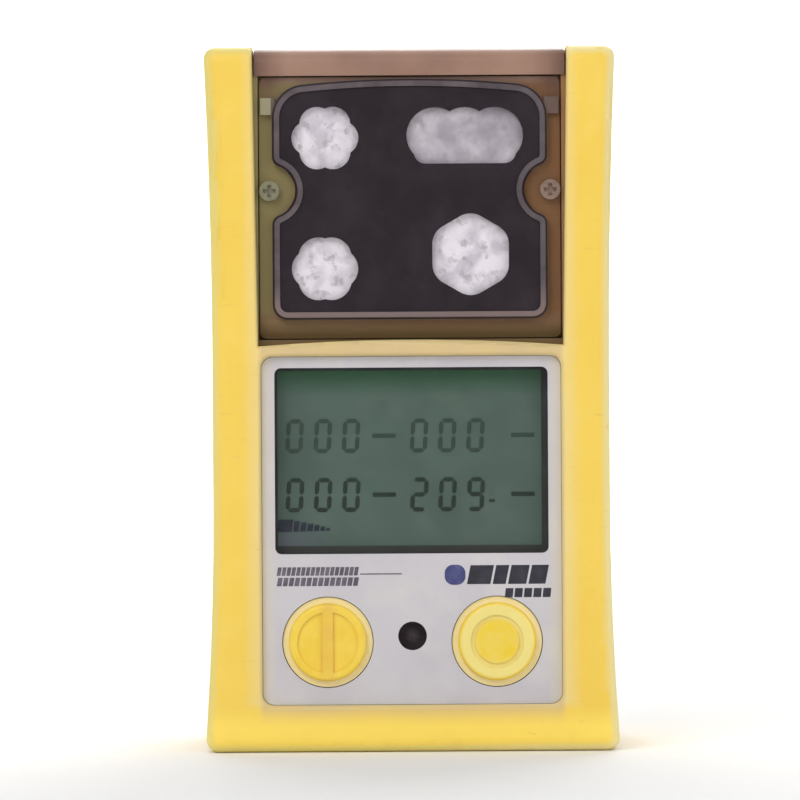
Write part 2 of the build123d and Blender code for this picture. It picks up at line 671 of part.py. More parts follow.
def display_window():
    outline = panel(WINDOW_WIDTH / 2 + LENS_LEDGE, window_top - WINDOW_HEIGHT - LENS_LEDGE,
                    window_top + LENS_LEDGE, WINDOW_CORNER)
    return plate(outline, pad_front, lens_back)


def screen_block(width, height, front, back):
    """A plain block centred on the display."""
    return block((-width / 2, width / 2), (front, back), (window_mid - height / 2, window_mid + height / 2))


def lcd_panel():
    """Two glass sheets, the rear one taller to carry the contact rows."""
    rear = screen_block(lcd_width, lcd_height, inner_front + LCD_THICKNESS / 2, lcd_back)
    middle = inner_front + LCD_THICKNESS / 2
    return rear + screen_block(lcd_width, lcd_height - 2 * GLASS_STEP, inner_front, middle)


def backlight():
    body = screen_block(lcd_width, lcd_height - 2 * ZEBRA_MARGIN, lcd_back, lcd_back + BACKLIGHT_THICKNESS)
    return fillet(body.edges().filter_by(Axis.Y), WINDOW_CORNER)


def lcd_frame():
    wall = 2 * LCD_FRAME_WALL
    body = screen_block(lcd_width + wall, lcd_height + wall, inner_front, display_board_front)
    cut = (inner_front - RUN, display_board_front + RUN)
    return body - screen_block(lcd_width + FIT, lcd_height + FIT, *cut)


def zebra_strips():
    """Elastomer connectors from the glass to the board, above and below the backlight."""
    strips = []
    for side in (-1, 1):
        z = window_mid + side * (lcd_height / 2 - ZEBRA_WIDTH / 2 - FIT)
        reach = WINDOW_WIDTH / 2 - ZEBRA_INSET
        strips.append(block((-reach, reach), (lcd_back, display_board_front),
                            (z - ZEBRA_WIDTH / 2, z + ZEBRA_WIDTH / 2)))
    return group(strips)


def display_board():
    edge = inner_half - BOARD_GAP
    body = block((-edge, edge), (display_board_front, display_board_back),
                 (inner_base + BOARD_GAP, display_board_top))
    cut = (display_board_front - RUN, display_board_back + RUN)
    reach = BOSS_RADIUS + BOSS_CLEARANCE
    # The lower corners are cut away round the case's screw bosses.
    for side in (-1, 1):
        corner = sorted((side * (boss_x - reach), side * case_half))
        body -= block(corner, cut, (0, boss_heights[0] + reach))
    for x, z in board_posts():
        body -= rod_y(x, z, SMALL_SCREW_RADIUS + THREAD_GAP, *cut)
    return body


def board_posts():
    z = BUTTON_HEIGHT + POST_RISE
    return [(side * (inner_half - POST_INSET), z) for side in (-1, 1)]


def display_board_screws():
    head = display_board_back + SMALL_HEAD_HEIGHT
    return group(screw(x, z, SMALL_HEAD_RADIUS, SMALL_HEAD_HEIGHT, SMALL_SCREW_RADIUS, head,
                       display_board_front - SMALL_SCREW_REACH, 1) for x, z in board_posts())


def board_link():
    """Flat flexible cable that joins the two boards, in three straight runs."""
    z = main_board_base + LINK_LAP / 2
    low = display_board_top - LINK_LAP
    width = (-LINK_HALF, LINK_HALF)
    body = block(width, (display_board_back, display_board_back + LINK_THICKNESS), (low, z + LINK_THICKNESS))
    body += block(width, (display_board_back, main_board_front), (z, z + LINK_THICKNESS))
    return body + block(width, (main_board_front - LINK_THICKNESS, main_board_front), (z, z + LINK_LAP))


# ---------------------------------------------------------------- buttons and sounder
def button(x, mark):
    """Cap, skirt, retaining flange and stem in one moulding, with a relief mark on the cap."""
    cap_front = label_front - BUTTON_PROUD
    cap = rod_y(x, BUTTON_HEIGHT, BUTTON_DIAMETER / 2, cap_front, pad_front + LAP)
    cap = fillet(edges_at(cap, cap_front), BUTTON_ROUND)
    skirt = rod_y(x, BUTTON_HEIGHT, skirt_radius, pad_front, inner_front + FIT)
    flange_face = inner_front + FLANGE_REST
    flange = rod_y(x, BUTTON_HEIGHT, flange_radius, flange_face, flange_face + BUTTON_FLANGE_THICKNESS)
    stem = rod_y(x, BUTTON_HEIGHT, STEM_RADIUS, flange_face, dome_top)
    return cap + skirt + flange + stem - mark(x, cap_front)


def bar_mark(x, face):
    """Two shallow dishes that leave a raised bar down the middle of the cap."""
    dish = rod_y(x, BUTTON_HEIGHT, BUTTON_DIAMETER / 2 - MARK_RIM, face - RUN, face + MARK_DEPTH)
    reach = BUTTON_DIAMETER / 2
    return dish - block((x - BAR_HALF, x + BAR_HALF), (face - 2 * RUN, face + RUN),
                        (BUTTON_HEIGHT - reach, BUTTON_HEIGHT + reach))


def ring_mark(x, face):
    """A shallow groove that leaves a raised disc inside a rim."""
    groove = BUTTON_DIAMETER / 2 - RING_RIM
    return ring_y(x, BUTTON_HEIGHT, groove, groove - RING_GROOVE, face - RUN, face + MARK_DEPTH)


def return_dome(x):
    """Hollow silicone dome between a button's stem and the board, which pushes the button back."""
    outer = Pos(x, display_board_front - DOME_HEIGHT / 2, BUTTON_HEIGHT) * Rot(90, 0, 0)
    shell = outer * Cone(DOME_RADIUS, STEM_RADIUS + LAP, DOME_HEIGHT)
    depth = DOME_HEIGHT - DOME_WALL
    hollow = Pos(x, display_board_front - depth / 2, BUTTON_HEIGHT) * Rot(90, 0, 0)
    return shell - hollow * Cone(DOME_RADIUS - DOME_WALL, STEM_RADIUS, depth)


def sounder_membrane():
    radius = PORT_DIAMETER / 2 + MEMBRANE_MARGIN
    return rod_y(0, PORT_HEIGHT, radius, inner_front, inner_front + MEMBRANE_THICKNESS)


def sounder_gasket():
    start = inner_front + MEMBRANE_THICKNESS
    inner = PORT_DIAMETER / 2
    return ring_y(0, PORT_HEIGHT, inner + MEMBRANE_MARGIN, inner, start, sounder_front)


def sounder():
    body = rod_y(0, PORT_HEIGHT, SOUNDER_DIAMETER / 2, sounder_front, display_board_front)
    body = fillet(edges_at(body, sounder_front), SOUNDER_GASKET / 2)
    return body - rod_y(0, PORT_HEIGHT, SOUNDER_HOLE, sounder_front - RUN, sounder_front + SOUNDER_HOLE_DEPTH)


# ---------------------------------------------------------------- sensor bay
def lobed(radius, lobe):
    """Six merged circles round a centre one, with a notch at the top and the bottom."""
    arm = radius - lobe
    shape = Circle(max(arm, lobe))
    for spot in PolarLocations(arm, 6):
        shape += spot * Circle(lobe)
    return shape


def rounded_hexagon(radius, corner):
    flat = RegularPolygon(radius - corner, 6, rotation=30)
    return offset(flat, corner, kind=Kind.ARC)


def triple(radius, pitch, corner):
    """Three merged circles side by side, on a straight base."""
    shape = Circle(radius)
    for side in (-1, 1):
        shape += Pos(side * pitch, 0) * Circle(radius)
    return shape + Pos(0, -radius / 2) * RectangleRounded(2 * pitch + 1.5 * radius, radius, corner)


def ports():
    """Each gas port's centre, its outline drawn about the origin, and its reach."""
    left, right = sensor_columns
    found = {}
    for name, x, z, shape, (across, up, reach, lobe) in (
            ("carbon_monoxide", left, upper_row, lobed, CARBON_MONOXIDE_PORT),
            ("hydrogen_sulfide", left, lower_row, lobed, HYDROGEN_SULFIDE_PORT),
            ("combustible", right, lower_row, rounded_hexagon, COMBUSTIBLE_PORT)):
        found[name] = (x + across, z + up, shape(reach, lobe), reach)
    across, up = OXYGEN_SHIFT
    found["oxygen"] = (right + across, upper_row + up, triple(OXYGEN_LOBE, OXYGEN_PITCH, OXYGEN_CORNER),
                       OXYGEN_LOBE + OXYGEN_PITCH)
    return found


def filter_outline(name):
    x, z, _, reach = ports()[name]
    if name == "oxygen":
        return Pos(x, z) * SlotOverall(2 * (reach + FILTER_LAP), 2 * (OXYGEN_LOBE + FILTER_LAP))
    return Pos(x, z) * Circle(reach + FILTER_LAP)


def pad_outline():
    """The raised part of the cover: arched at the top, notched at the waist round the screws."""
    low, high = pad_base, pad_top
    arch = ThreePointArc((-COVER_HALF, high), (0, high + COVER_ARCH), (COVER_HALF, high))
    rest = Polyline((COVER_HALF, high), (COVER_HALF, low), (-COVER_HALF, low), (-COVER_HALF, high))
    shape = make_face([arch, rest])
    shape = fillet(shape.vertices().sort_by(Axis.Y)[:2], COVER_BASE_CORNER)
    shape = fillet(shape.vertices().sort_by(Axis.Y)[-2:], COVER_TOP_CORNER)
    for side in (-1, 1):
        shape -= Pos(side * notch_x, notch_z) * Circle(NOTCH_RADIUS)
    waist = [v for v in shape.vertices() if abs(v.Y - notch_z) < NOTCH_RADIUS + NOTCH_OUTSET
             and abs(abs(v.X) - COVER_HALF) < NEAR]
    return fillet(ShapeList(waist), NOTCH_ROUND)


def sensor_cover():
    outline = pad_outline()
    raised = plate(outline, cover_front, flange_front + FIT)
    raised = chamfer(edges_at(raised, cover_front), COVER_CHAMFER)
    field = offset(outline, -COVER_RIM, kind=Kind.ARC)
    raised -= plate(field, cover_front - RUN, cover_front + COVER_RIM_HEIGHT)
    flange = block((-flange_half, flange_half), (flange_front, cover_back), (flange_base, flange_top))
    body = raised + fillet(flange.edges().filter_by(Axis.Y), FLANGE_CORNER)
    # A small lug on each side of the flange, beside the cover's upper corners.
    lug_z = HEIGHT - LUG_DROP
    for side in (-1, 1):
        span = sorted((side * (COVER_HALF - LAP), side * (flange_half - FIT)))
        body += block(span, (flange_front - LUG_RISE, flange_front + FIT),
                      (lug_z - LUG_HALF, lug_z + LUG_HALF))
        body -= rod_y(side * notch_x, notch_z, SMALL_SCREW_RADIUS + FIT / 2, cover_front - RUN,
                      cover_back + RUN)
    for name, (x, z, outline, _) in ports().items():
        body -= plate(Pos(x, z) * outline, cover_front - RUN, cover_back + RUN)
        body -= plate(filter_outline(name), cover_back - FILTER_THICKNESS, cover_back + RUN)
    return body


def gas_filter(name):
    """White membrane in a rebate behind a port."""
    return plate(filter_outline(name), cover_back - FILTER_THICKNESS, cover_back)


def cover_seal():
    body = block((-flange_half, flange_half), (cover_back, deck_front), (flange_base, flange_top))
    body = fillet(body.edges().filter_by(Axis.Y), FLANGE_CORNER)
    for hole in deck_holes():
        body -= hole
    for side in (-1, 1):
        body -= rod_y(side * notch_x, notch_z, SMALL_SCREW_RADIUS + FIT / 2, cover_back - RUN,
                      deck_front + RUN)
    return body


def cover_screws():
    return group(screw(side * notch_x, notch_z, COVER_HEAD_RADIUS, SMALL_HEAD_HEIGHT, SMALL_SCREW_RADIUS,
                       flange_front - SMALL_HEAD_HEIGHT, deck_back) for side in (-1, 1))


def sensor_places():
    left, right = sensor_columns
    return {
        "carbon_monoxide": (left, upper_row),
        "oxygen": (right, upper_row),
        "hydrogen_sulfide": (left, lower_row),
        "combustible": (right, lower_row),
    }


def gas_sensor(name):
    """Round cell with a gas inlet in front and three pins that meet the board."""
    x, z = sensor_places()[name]
    body = rod_y(x, z, sensor_radius, deck_back, sensor_back)
    body = fillet(edges_at(body, deck_back), SENSOR_ROUND)
    body -= rod_y(x, z, INLET_RADIUS, deck_back - RUN, deck_back + INLET_DEPTH)
    for spot in PolarLocations(sensor_radius - PIN_INSET, 3, start_angle=90):
        pin = spot.position
        body += rod_y(x + pin.X, z + pin.Y, PIN_RADIUS, sensor_back - LAP, main_board_front)
    return body


def sensor_holder():
    """Tray with a round well for each sensor and three columns for the main board's screws."""
    left, right = sensor_columns
    low = lower_row - sensor_radius - 2 * FIT
    high = min(upper_row + sensor_radius + 2 * FIT, light_base - CASE_WALL - BOOT_GAP)
    span = (left - sensor_radius - HOLDER_WALL, right + sensor_radius + HOLDER_WALL)
    body = block(span, (deck_back, holder_back), (low, high))
    middle = (deck_back, holder_back)
    for x, z in column_places:
        body += block(sorted((x, (left + right) / 2)), middle, (z - COLUMN_HALF, z + COLUMN_HALF))
        body += rod_y(x, z, COLUMN_RADIUS, deck_back, main_board_front)
        body -= rod_y(x, z, SMALL_SCREW_RADIUS + THREAD_GAP, main_board_front - SMALL_SCREW_REACH - LAP,
                      main_board_front + RUN)
    for x, z in sensor_places().values():
        body -= rod_y(x, z, sensor_radius + HOLDER_GAP, deck_back - RUN, main_board_front + RUN)
    for x, z in boss_places:
        if z > bay_base:
            body -= rod_y(x, z, BOSS_RADIUS + FIT, deck_back - RUN, main_board_front + RUN)
    return body


# ---------------------------------------------------------------- main board and what is on it
def main_board():
    edge = inner_half - BOARD_GAP
    body = block((-edge, edge), (main_board_front, main_board_back),
                 (main_board_base, case_top - CASE_WALL - BOARD_GAP))
    cut = (main_board_front - RUN, main_board_back + RUN)
    for side in (-1, 1):
        reach = BOSS_RADIUS + BOSS_CLEARANCE
        corner = sorted((side * (boss_x - reach), side * case_half))
        body -= block(corner, cut, (boss_heights[1] - reach, HEIGHT))
    for x, z in column_places:
        body -= rod_y(x, z, SMALL_SCREW_RADIUS + FIT / 2, *cut)
    return body


def main_board_screws():
    head = main_board_back + SMALL_HEAD_HEIGHT
    return group(screw(x, z, SMALL_HEAD_RADIUS, SMALL_HEAD_HEIGHT, SMALL_SCREW_RADIUS, head,
                       main_board_front - SMALL_SCREW_REACH, 1) for x, z in column_places)


def processor_shield():
    """Pressed metal can over the processor, open towards the board."""
    left, right = SHIELD_SPAN
    z = (upper_row + lower_row) / 2 + SHIELD_RISE
    base = main_board_back
    outer = block(SHIELD_SPAN, (base, base + SHIELD_DEPTH), (z - SHIELD_HALF, z + SHIELD_HALF))
    outer = fillet(outer.edges().filter_by(Axis.Y), SHIELD_CORNER)
    inner = SHIELD_HALF - SHIELD_SHEET
    return outer - block((left + SHIELD_SHEET, right - SHIELD_SHEET),
                         (base - RUN, base + SHIELD_DEPTH - SHIELD_SHEET), (z - inner, z + inner))


def battery_connector():
    """Header from the battery's terminal board to the back of the main board."""
    low = battery_top + BOARD
    back = (battery_front + battery_back) / 2 + CONNECTOR_OVERHANG
    return block(CONNECTOR_SPAN, (main_board_back, back), (low, main_board_base + CONNECTOR_RISE))


def led_strip():
    y = light_front + LIGHT_FRONT_WALL + STRIP_GAP
    half = light_half - STRIP_INSET
    return block((-half, half), (y, y + STRIP_DEPTH), (light_base, light_base + STRIP_THICKNESS))


def alarm_leds():
    y = light_front + LIGHT_FRONT_WALL + STRIP_GAP + LAMP_PLACE
    low = light_base + STRIP_THICKNESS
    places = [side * LAMP_PITCH for side in (-1, 0, 1)]
    lamps = [block((x - LAMP_HALF, x + LAMP_HALF), (y - LAMP_HALF, y + LAMP_HALF), (low, low + LAMP_HEIGHT))
             for x in places]
    return group(fillet(lamp.edges().filter_by(Axis.Z), LAMP_CORNER) for lamp in lamps)


def alarm_light():
    """Translucent bar over the top front edge, hollow above the lamps."""
    corner = (light_front, light_top - LIGHT_NOSE)
    crown = (light_front + LIGHT_RUN, light_top)
    face = make_face([
        Polyline((light_front, light_base), corner),
        RadiusArc(corner, crown, LIGHT_ROUND),
        Polyline(crown, (light_back, light_top), (light_back, light_base), (light_front, light_base)),
    ])
    body = extrude(Plane.YZ.offset(-light_half) * face, 2 * light_half)
    hollow = (light_front + LIGHT_FRONT_WALL, light_back - LIGHT_WALL)
    return body - block((-light_half + LIGHT_WALL, light_half - LIGHT_WALL), hollow,
                        (light_base - RUN, light_top - LIGHT_WALL))


# ---------------------------------------------------------------- battery, motor and contacts
def battery_pack():
    body = block((-BATTERY_WIDTH / 2, BATTERY_WIDTH / 2), (battery_front, battery_back),
                 (BATTERY_BASE, battery_top))
    return fillet(body.edges().filter_by(Axis.Z), BATTERY_CORNER)


def battery_board():
    half = BATTERY_WIDTH / 2 - 2 * BATTERY_BOARD_INSET
    return block((-half, half), (battery_front + BATTERY_BOARD_INSET, battery_back - BATTERY_BOARD_INSET),
                 (battery_top, battery_top + BOARD))


def battery_cradle():
    """Open tray that holds the pack against the rear shell."""
    half = BATTERY_WIDTH / 2 + CRADLE_WALL
    low = BATTERY_BASE - CRADLE_WALL
    front = battery_front + CRADLE_SETBACK
    body = block((-half, half), (front, inner_back), (low, battery_top + CRADLE_WALL))
    body -= block((-BATTERY_WIDTH / 2, BATTERY_WIDTH / 2), (front - RUN, battery_back),
                  (BATTERY_BASE, battery_top + CRADLE_WALL + RUN))
    for x, z in boss_places:
        body -= rod_y(x, z, BOSS_RADIUS + FIT, front - RUN, inner_back + RUN)
    return body


def vibration_motor():
    body = rod_x(motor_y, MOTOR_HEIGHT, MOTOR_RADIUS, -MOTOR_LENGTH / 2, MOTOR_LENGTH / 2)
    bore = SHAFT_RADIUS + SHAFT_GAP
    nose = MOTOR_LENGTH / 2
    return body - rod_x(motor_y, MOTOR_HEIGHT, bore, nose - SHAFT_REACH - RUN, nose + RUN)


def motor_weight():
    """Half-round weight on its shaft, which turns in the motor's nose."""
    start = MOTOR_LENGTH / 2 + WEIGHT_GAP
    end = start + WEIGHT_LENGTH
    body = rod_x(motor_y, MOTOR_HEIGHT, WEIGHT_RADIUS, start, end)
    body -= block((start - RUN, end + RUN), (motor_y - WEIGHT_RADIUS, motor_y + WEIGHT_RADIUS),
                  (MOTOR_HEIGHT + WEIGHT_FLAT, MOTOR_HEIGHT + WEIGHT_RADIUS + RUN))
    return body + rod_x(motor_y, MOTOR_HEIGHT, SHAFT_RADIUS, MOTOR_LENGTH / 2 - SHAFT_REACH, end)


def motor_mount():
    """Rubber saddle that holds the motor on the display board."""
    half = MOTOR_LENGTH / 2 - SADDLE_INSET
    reach = MOTOR_RADIUS + SADDLE_WALL
    body = block((-half, half), (display_board_back, motor_y + SADDLE_WRAP),
                 (MOTOR_HEIGHT - reach, MOTOR_HEIGHT + reach))
    return body - rod_x(motor_y, MOTOR_HEIGHT, MOTOR_RADIUS, -half - RUN, half + RUN)


def contact_places():
    first = -CONTACT_PITCH * (CONTACT_COUNT - 1) / 2
    return [first + i * CONTACT_PITCH for i in range(CONTACT_COUNT)]


def charging_contacts():
    """Gold-plated studs, flush with the case's underside."""
    top = inner_base + CONTACT_RISE
    return group(rod_z(x, CONTACT_Y, CONTACT_RADIUS, case_base, top) for x in contact_places())


def contact_block():
    """Moulding that carries the studs on the case's floor."""
    half = CONTACT_PITCH * CONTACT_COUNT / 2
    body = block((-half, half), (CONTACT_Y - CONTACT_BLOCK_HALF, CONTACT_Y + CONTACT_BLOCK_HALF),
                 (inner_base, inner_base + CONTACT_BLOCK_RISE))
    for x in contact_places():
        body -= rod_z(x, CONTACT_Y, CONTACT_RADIUS, case_base - RUN, inner_base + CONTACT_RISE)
    return body


# ---------------------------------------------------------------- belt clip
def clip_screw_places():
    return [(0, clip_pin_z + rise) for rise in CLIP_SCREW_RISES]


def clip_bracket():
    """Plate on the rear shell, with an ear on each side for the pin."""
    half = ear_inner + BRACKET_EAR
    base = clip_pin_z - BRACKET_LENGTH / 2
    body = block((-half, half), (case_back, bracket_face), (base, base + BRACKET_LENGTH))
    body = fillet(body.edges().filter_by(Axis.Y), BRACKET_CORNER)
    for side in (-1, 1):
        span = sorted((side * ear_inner, side * half))
        body += rod_x(clip_pin_y, clip_pin_z, EAR_RADIUS, *span)
        body += block(span, (case_back, clip_pin_y), (clip_pin_z - EAR_RADIUS, clip_pin_z + EAR_RADIUS))
        body -= rod_x(clip_pin_y, clip_pin_z, CLIP_PIN_RADIUS, span[0] - 1, span[1] + 1)
    for x, z in clip_screw_places():
        body -= rod_y(x, z, CASE_SCREW_RADIUS + FIT / 2, case_back - RUN, bracket_face + RUN)
    return body


def clip_screws():
    face = bracket_face + CLIP_HEAD_HEIGHT
    tip = inner_back - CLIP_BOSS_LENGTH + LAP
    return group(screw(x, z, CLIP_HEAD_RADIUS, CLIP_HEAD_HEIGHT, CASE_SCREW_RADIUS, face, tip, 1)
                 for x, z in clip_screw_places())


def clip_pin():
    half = ear_inner + BRACKET_EAR + PIN_PROUD
    body = rod_x(clip_pin_y, clip_pin_z, CLIP_PIN_RADIUS, -half, half)
    return chamfer(body.edges().filter_by(GeomType.CIRCLE), PIN_CHAMFER)


def clip_lever():
    """Sheet jaw with a thumb tab above the pin and a bent tip that meets the case's back."""
    tip_z = clip_pin_z - CLIP_LENGTH
    tip_y = case_back + TIP_GAP + CLIP_SHEET / 2
    middle = lever_inner + CLIP_SHEET / 2
    path = FilletPolyline(
        (middle + TAB_FLARE, clip_pin_z + TAB_RISE),
        (middle, clip_pin_z + TAB_BEND_RISE),
        (middle, clip_pin_z - JAW_BEND_DROP),
        (middle - JAW_LEAN, tip_z + JAW_TURN_RISE),
        (tip_y, tip_z + TIP_RISE),
        (tip_y + TIP_RISE, tip_z - TIP_DROP),
        radius=[LEVER_BEND, LEVER_BEND, LEVER_BEND, TIP_BEND],
    )
    face = trace(path, CLIP_SHEET)
    body = extrude(Plane.YZ.offset(-CLIP_WIDTH / 2) * face, CLIP_WIDTH)
    for side in (-1, 1):
        span = sorted((side * CLIP_WIDTH / 2, side * (CLIP_WIDTH / 2 - CLIP_SHEET)))
        body += rod_x(clip_pin_y, clip_pin_z, LUG_RADIUS, *span)
        body += block(span, (clip_pin_y, middle), (clip_pin_z - LUG_RADIUS, clip_pin_z + LUG_RADIUS))
        body -= rod_x(clip_pin_y, clip_pin_z, CLIP_PIN_RADIUS + PIN_SLACK, span[0] - FIT, span[1] + FIT)
    return body


def clip_spring():
    """Torsion spring round the pin, with a leg on the bracket and a leg on the lever."""
    pitch = SPRING_WIRE + SPRING_TURN_GAP
    length = pitch * SPRING_TURNS
    coil = Helix(pitch, length, SPRING_RADIUS)
    first = Line((SPRING_RADIUS, -SPRING_LEG, 0), coil @ 0)
    last = Line(coil @ 1, (-SPRING_RADIUS, -SPRING_LEG, length))
    path = Wire([first.edge(), coil.edge(), last.edge()])
    body = sweep(Plane(origin=first @ 0, z_dir=first % 0) * Circle(SPRING_WIRE / 2), path=path)
    # The coil's axis turns from Z to X, and both legs point up.
    return Pos(-length / 2, clip_pin_y, clip_pin_z) * Rot(0, 90, 0) * Rot(0, 0, -90) * body


# ---------------------------------------------------------------- every piece, by name
def pieces():
    made = {
        "protective_boot": protective_boot(),
        "front_shell": front_shell(),
        "rear_shell": rear_shell(),
        "shell_gasket": gasket_ring(SPLIT_Y),
        "case_screws": case_screws(),
        "screw_inserts": screw_inserts(),
        "fascia_label": fascia_label(),
        "rear_label": rear_label(),
        "display_window": display_window(),
        "lcd_panel": lcd_panel(),
        "lcd_frame": lcd_frame(),
        "backlight": backlight(),
        "zebra_strips": zebra_strips(),
        "display_board": display_board(),
        "display_board_screws": display_board_screws(),
        "board_link": board_link(),
        "mode_button": button(button_places["mode"], bar_mark),
        "enter_button": button(button_places["enter"], ring_mark),
        "sounder_membrane": sounder_membrane(),
        "sounder_gasket": sounder_gasket(),
        "sounder": sounder(),
        "sensor_cover": sensor_cover(),
        "cover_seal": cover_seal(),
        "cover_screws": cover_screws(),
        "sensor_holder": sensor_holder(),
        "main_board": main_board(),
        "main_board_screws": main_board_screws(),
        "processor_shield": processor_shield(),
        "battery_connector": battery_connector(),
        "led_strip": led_strip(),
        "alarm_leds": alarm_leds(),
        "alarm_light": alarm_light(),
        "battery_pack": battery_pack(),
        "battery_board": battery_board(),
        "battery_cradle": battery_cradle(),
        "vibration_motor": vibration_motor(),
        "motor_weight": motor_weight(),
        "motor_mount": motor_mount(),
        "charging_contacts": charging_contacts(),
        "contact_block": contact_block(),
        "clip_bracket": clip_bracket(),
        "clip_screws": clip_screws(),
        "clip_pin": clip_pin(),
        "clip_lever": clip_lever(),
        "clip_spring": clip_spring(),
    }
    for name, x in button_places.items():
        made[f"{name}_return_dome"] = return_dome(x)
    for name in ports():
        made[f"{name}_filter"] = gas_filter(name)
        made[f"{name}_sensor"] = gas_sensor(name)
    return made


os.makedirs("parts", exist_ok=True)
for name, shape in pieces().items():
    export_step(shape, f"parts/{name}.step")
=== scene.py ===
import json
import math

import bmesh
import bpy
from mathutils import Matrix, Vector


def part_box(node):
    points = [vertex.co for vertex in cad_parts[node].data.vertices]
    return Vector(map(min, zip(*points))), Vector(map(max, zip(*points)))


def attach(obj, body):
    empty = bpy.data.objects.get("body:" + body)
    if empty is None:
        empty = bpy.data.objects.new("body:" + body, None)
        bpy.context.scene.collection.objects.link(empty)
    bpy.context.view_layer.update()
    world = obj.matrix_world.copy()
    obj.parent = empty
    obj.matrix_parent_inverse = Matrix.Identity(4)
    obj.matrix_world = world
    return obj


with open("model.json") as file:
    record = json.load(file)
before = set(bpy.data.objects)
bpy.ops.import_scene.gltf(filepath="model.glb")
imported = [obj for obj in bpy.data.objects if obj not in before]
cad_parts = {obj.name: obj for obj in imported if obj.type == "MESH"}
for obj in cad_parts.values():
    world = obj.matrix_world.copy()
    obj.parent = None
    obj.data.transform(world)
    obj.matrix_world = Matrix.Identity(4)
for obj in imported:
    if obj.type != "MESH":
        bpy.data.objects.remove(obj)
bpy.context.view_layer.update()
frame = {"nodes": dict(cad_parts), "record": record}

# Portable gas detector: materials, display segments, printed marks, floor, lights and camera.
# Everything is in metres, in the CAD frame: +X right, +Y to the back, +Z up.

MM = 0.001

# ---------------------------------------------------------------- places read from the frame
label_low, label_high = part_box("fascia_label")
window_low, window_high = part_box("display_window")
glass_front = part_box("lcd_panel")[0].y
cover_low, cover_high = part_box("sensor_cover")
boot_low, boot_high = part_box("protective_boot")
tape_low, tape_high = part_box("rear_label")
mesh_low, mesh_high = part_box("sounder_membrane")
lens_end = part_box("alarm_light")[1].x
oxygen_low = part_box("oxygen_filter")[0]
left_cap, right_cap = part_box("mode_button"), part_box("enter_button")
LENS_LEDGE = 1.2 * MM  # the window's hidden margin, behind the label
view_left = window_low.x + LENS_LEDGE
view_right = window_high.x - LENS_LEDGE
view_low = window_low.z + LENS_LEDGE
view_high = window_high.z - LENS_LEDGE
INK = 0.02 * MM  # thickness of a printed mark

# Edges that the CAD gives the sensor cover, which tell its material where each face ends.
BEAD_CREST = 0.02 * MM  # the bead's painted highlight is full down to this depth behind the cover's front, and there is none from this depth on
BEAD_DEPTH = 0.16 * MM  # and not at all from this depth on
SLOPE_DEPTH = 0.34 * MM  # the bead's outer slope starts this deep
LUG_DEPTH = 1.3 * MM  # the lugs' faces lie in front of this depth
FLANGE_DEPTH = 1.4 * MM  # the flange's face lies behind this depth
LUG_INNER = 21.25 * MM  # inner side of each lug, from the middle
FIELD_HALF = 18.6 * MM  # the field that holds the gas ports: half its width,
FIELD_BASE = 5.6 * MM  # its lower edge above the cover's, and
FIELD_TOP = 3.0 * MM  # its upper edge below the cover's
FIELD_BLEND = 0.3 * MM  # width of the field's soft edge


# ---------------------------------------------------------------- material kit
def srgb(*channels):
    """A display colour, 0 to 255, as the linear colour that the shader takes."""
    linear = []
    for channel in channels:
        c = channel / 255
        linear.append(c / 12.92 if c <= 0.04045 else ((c + 0.055) / 1.055) ** 2.4)
    return tuple(linear)


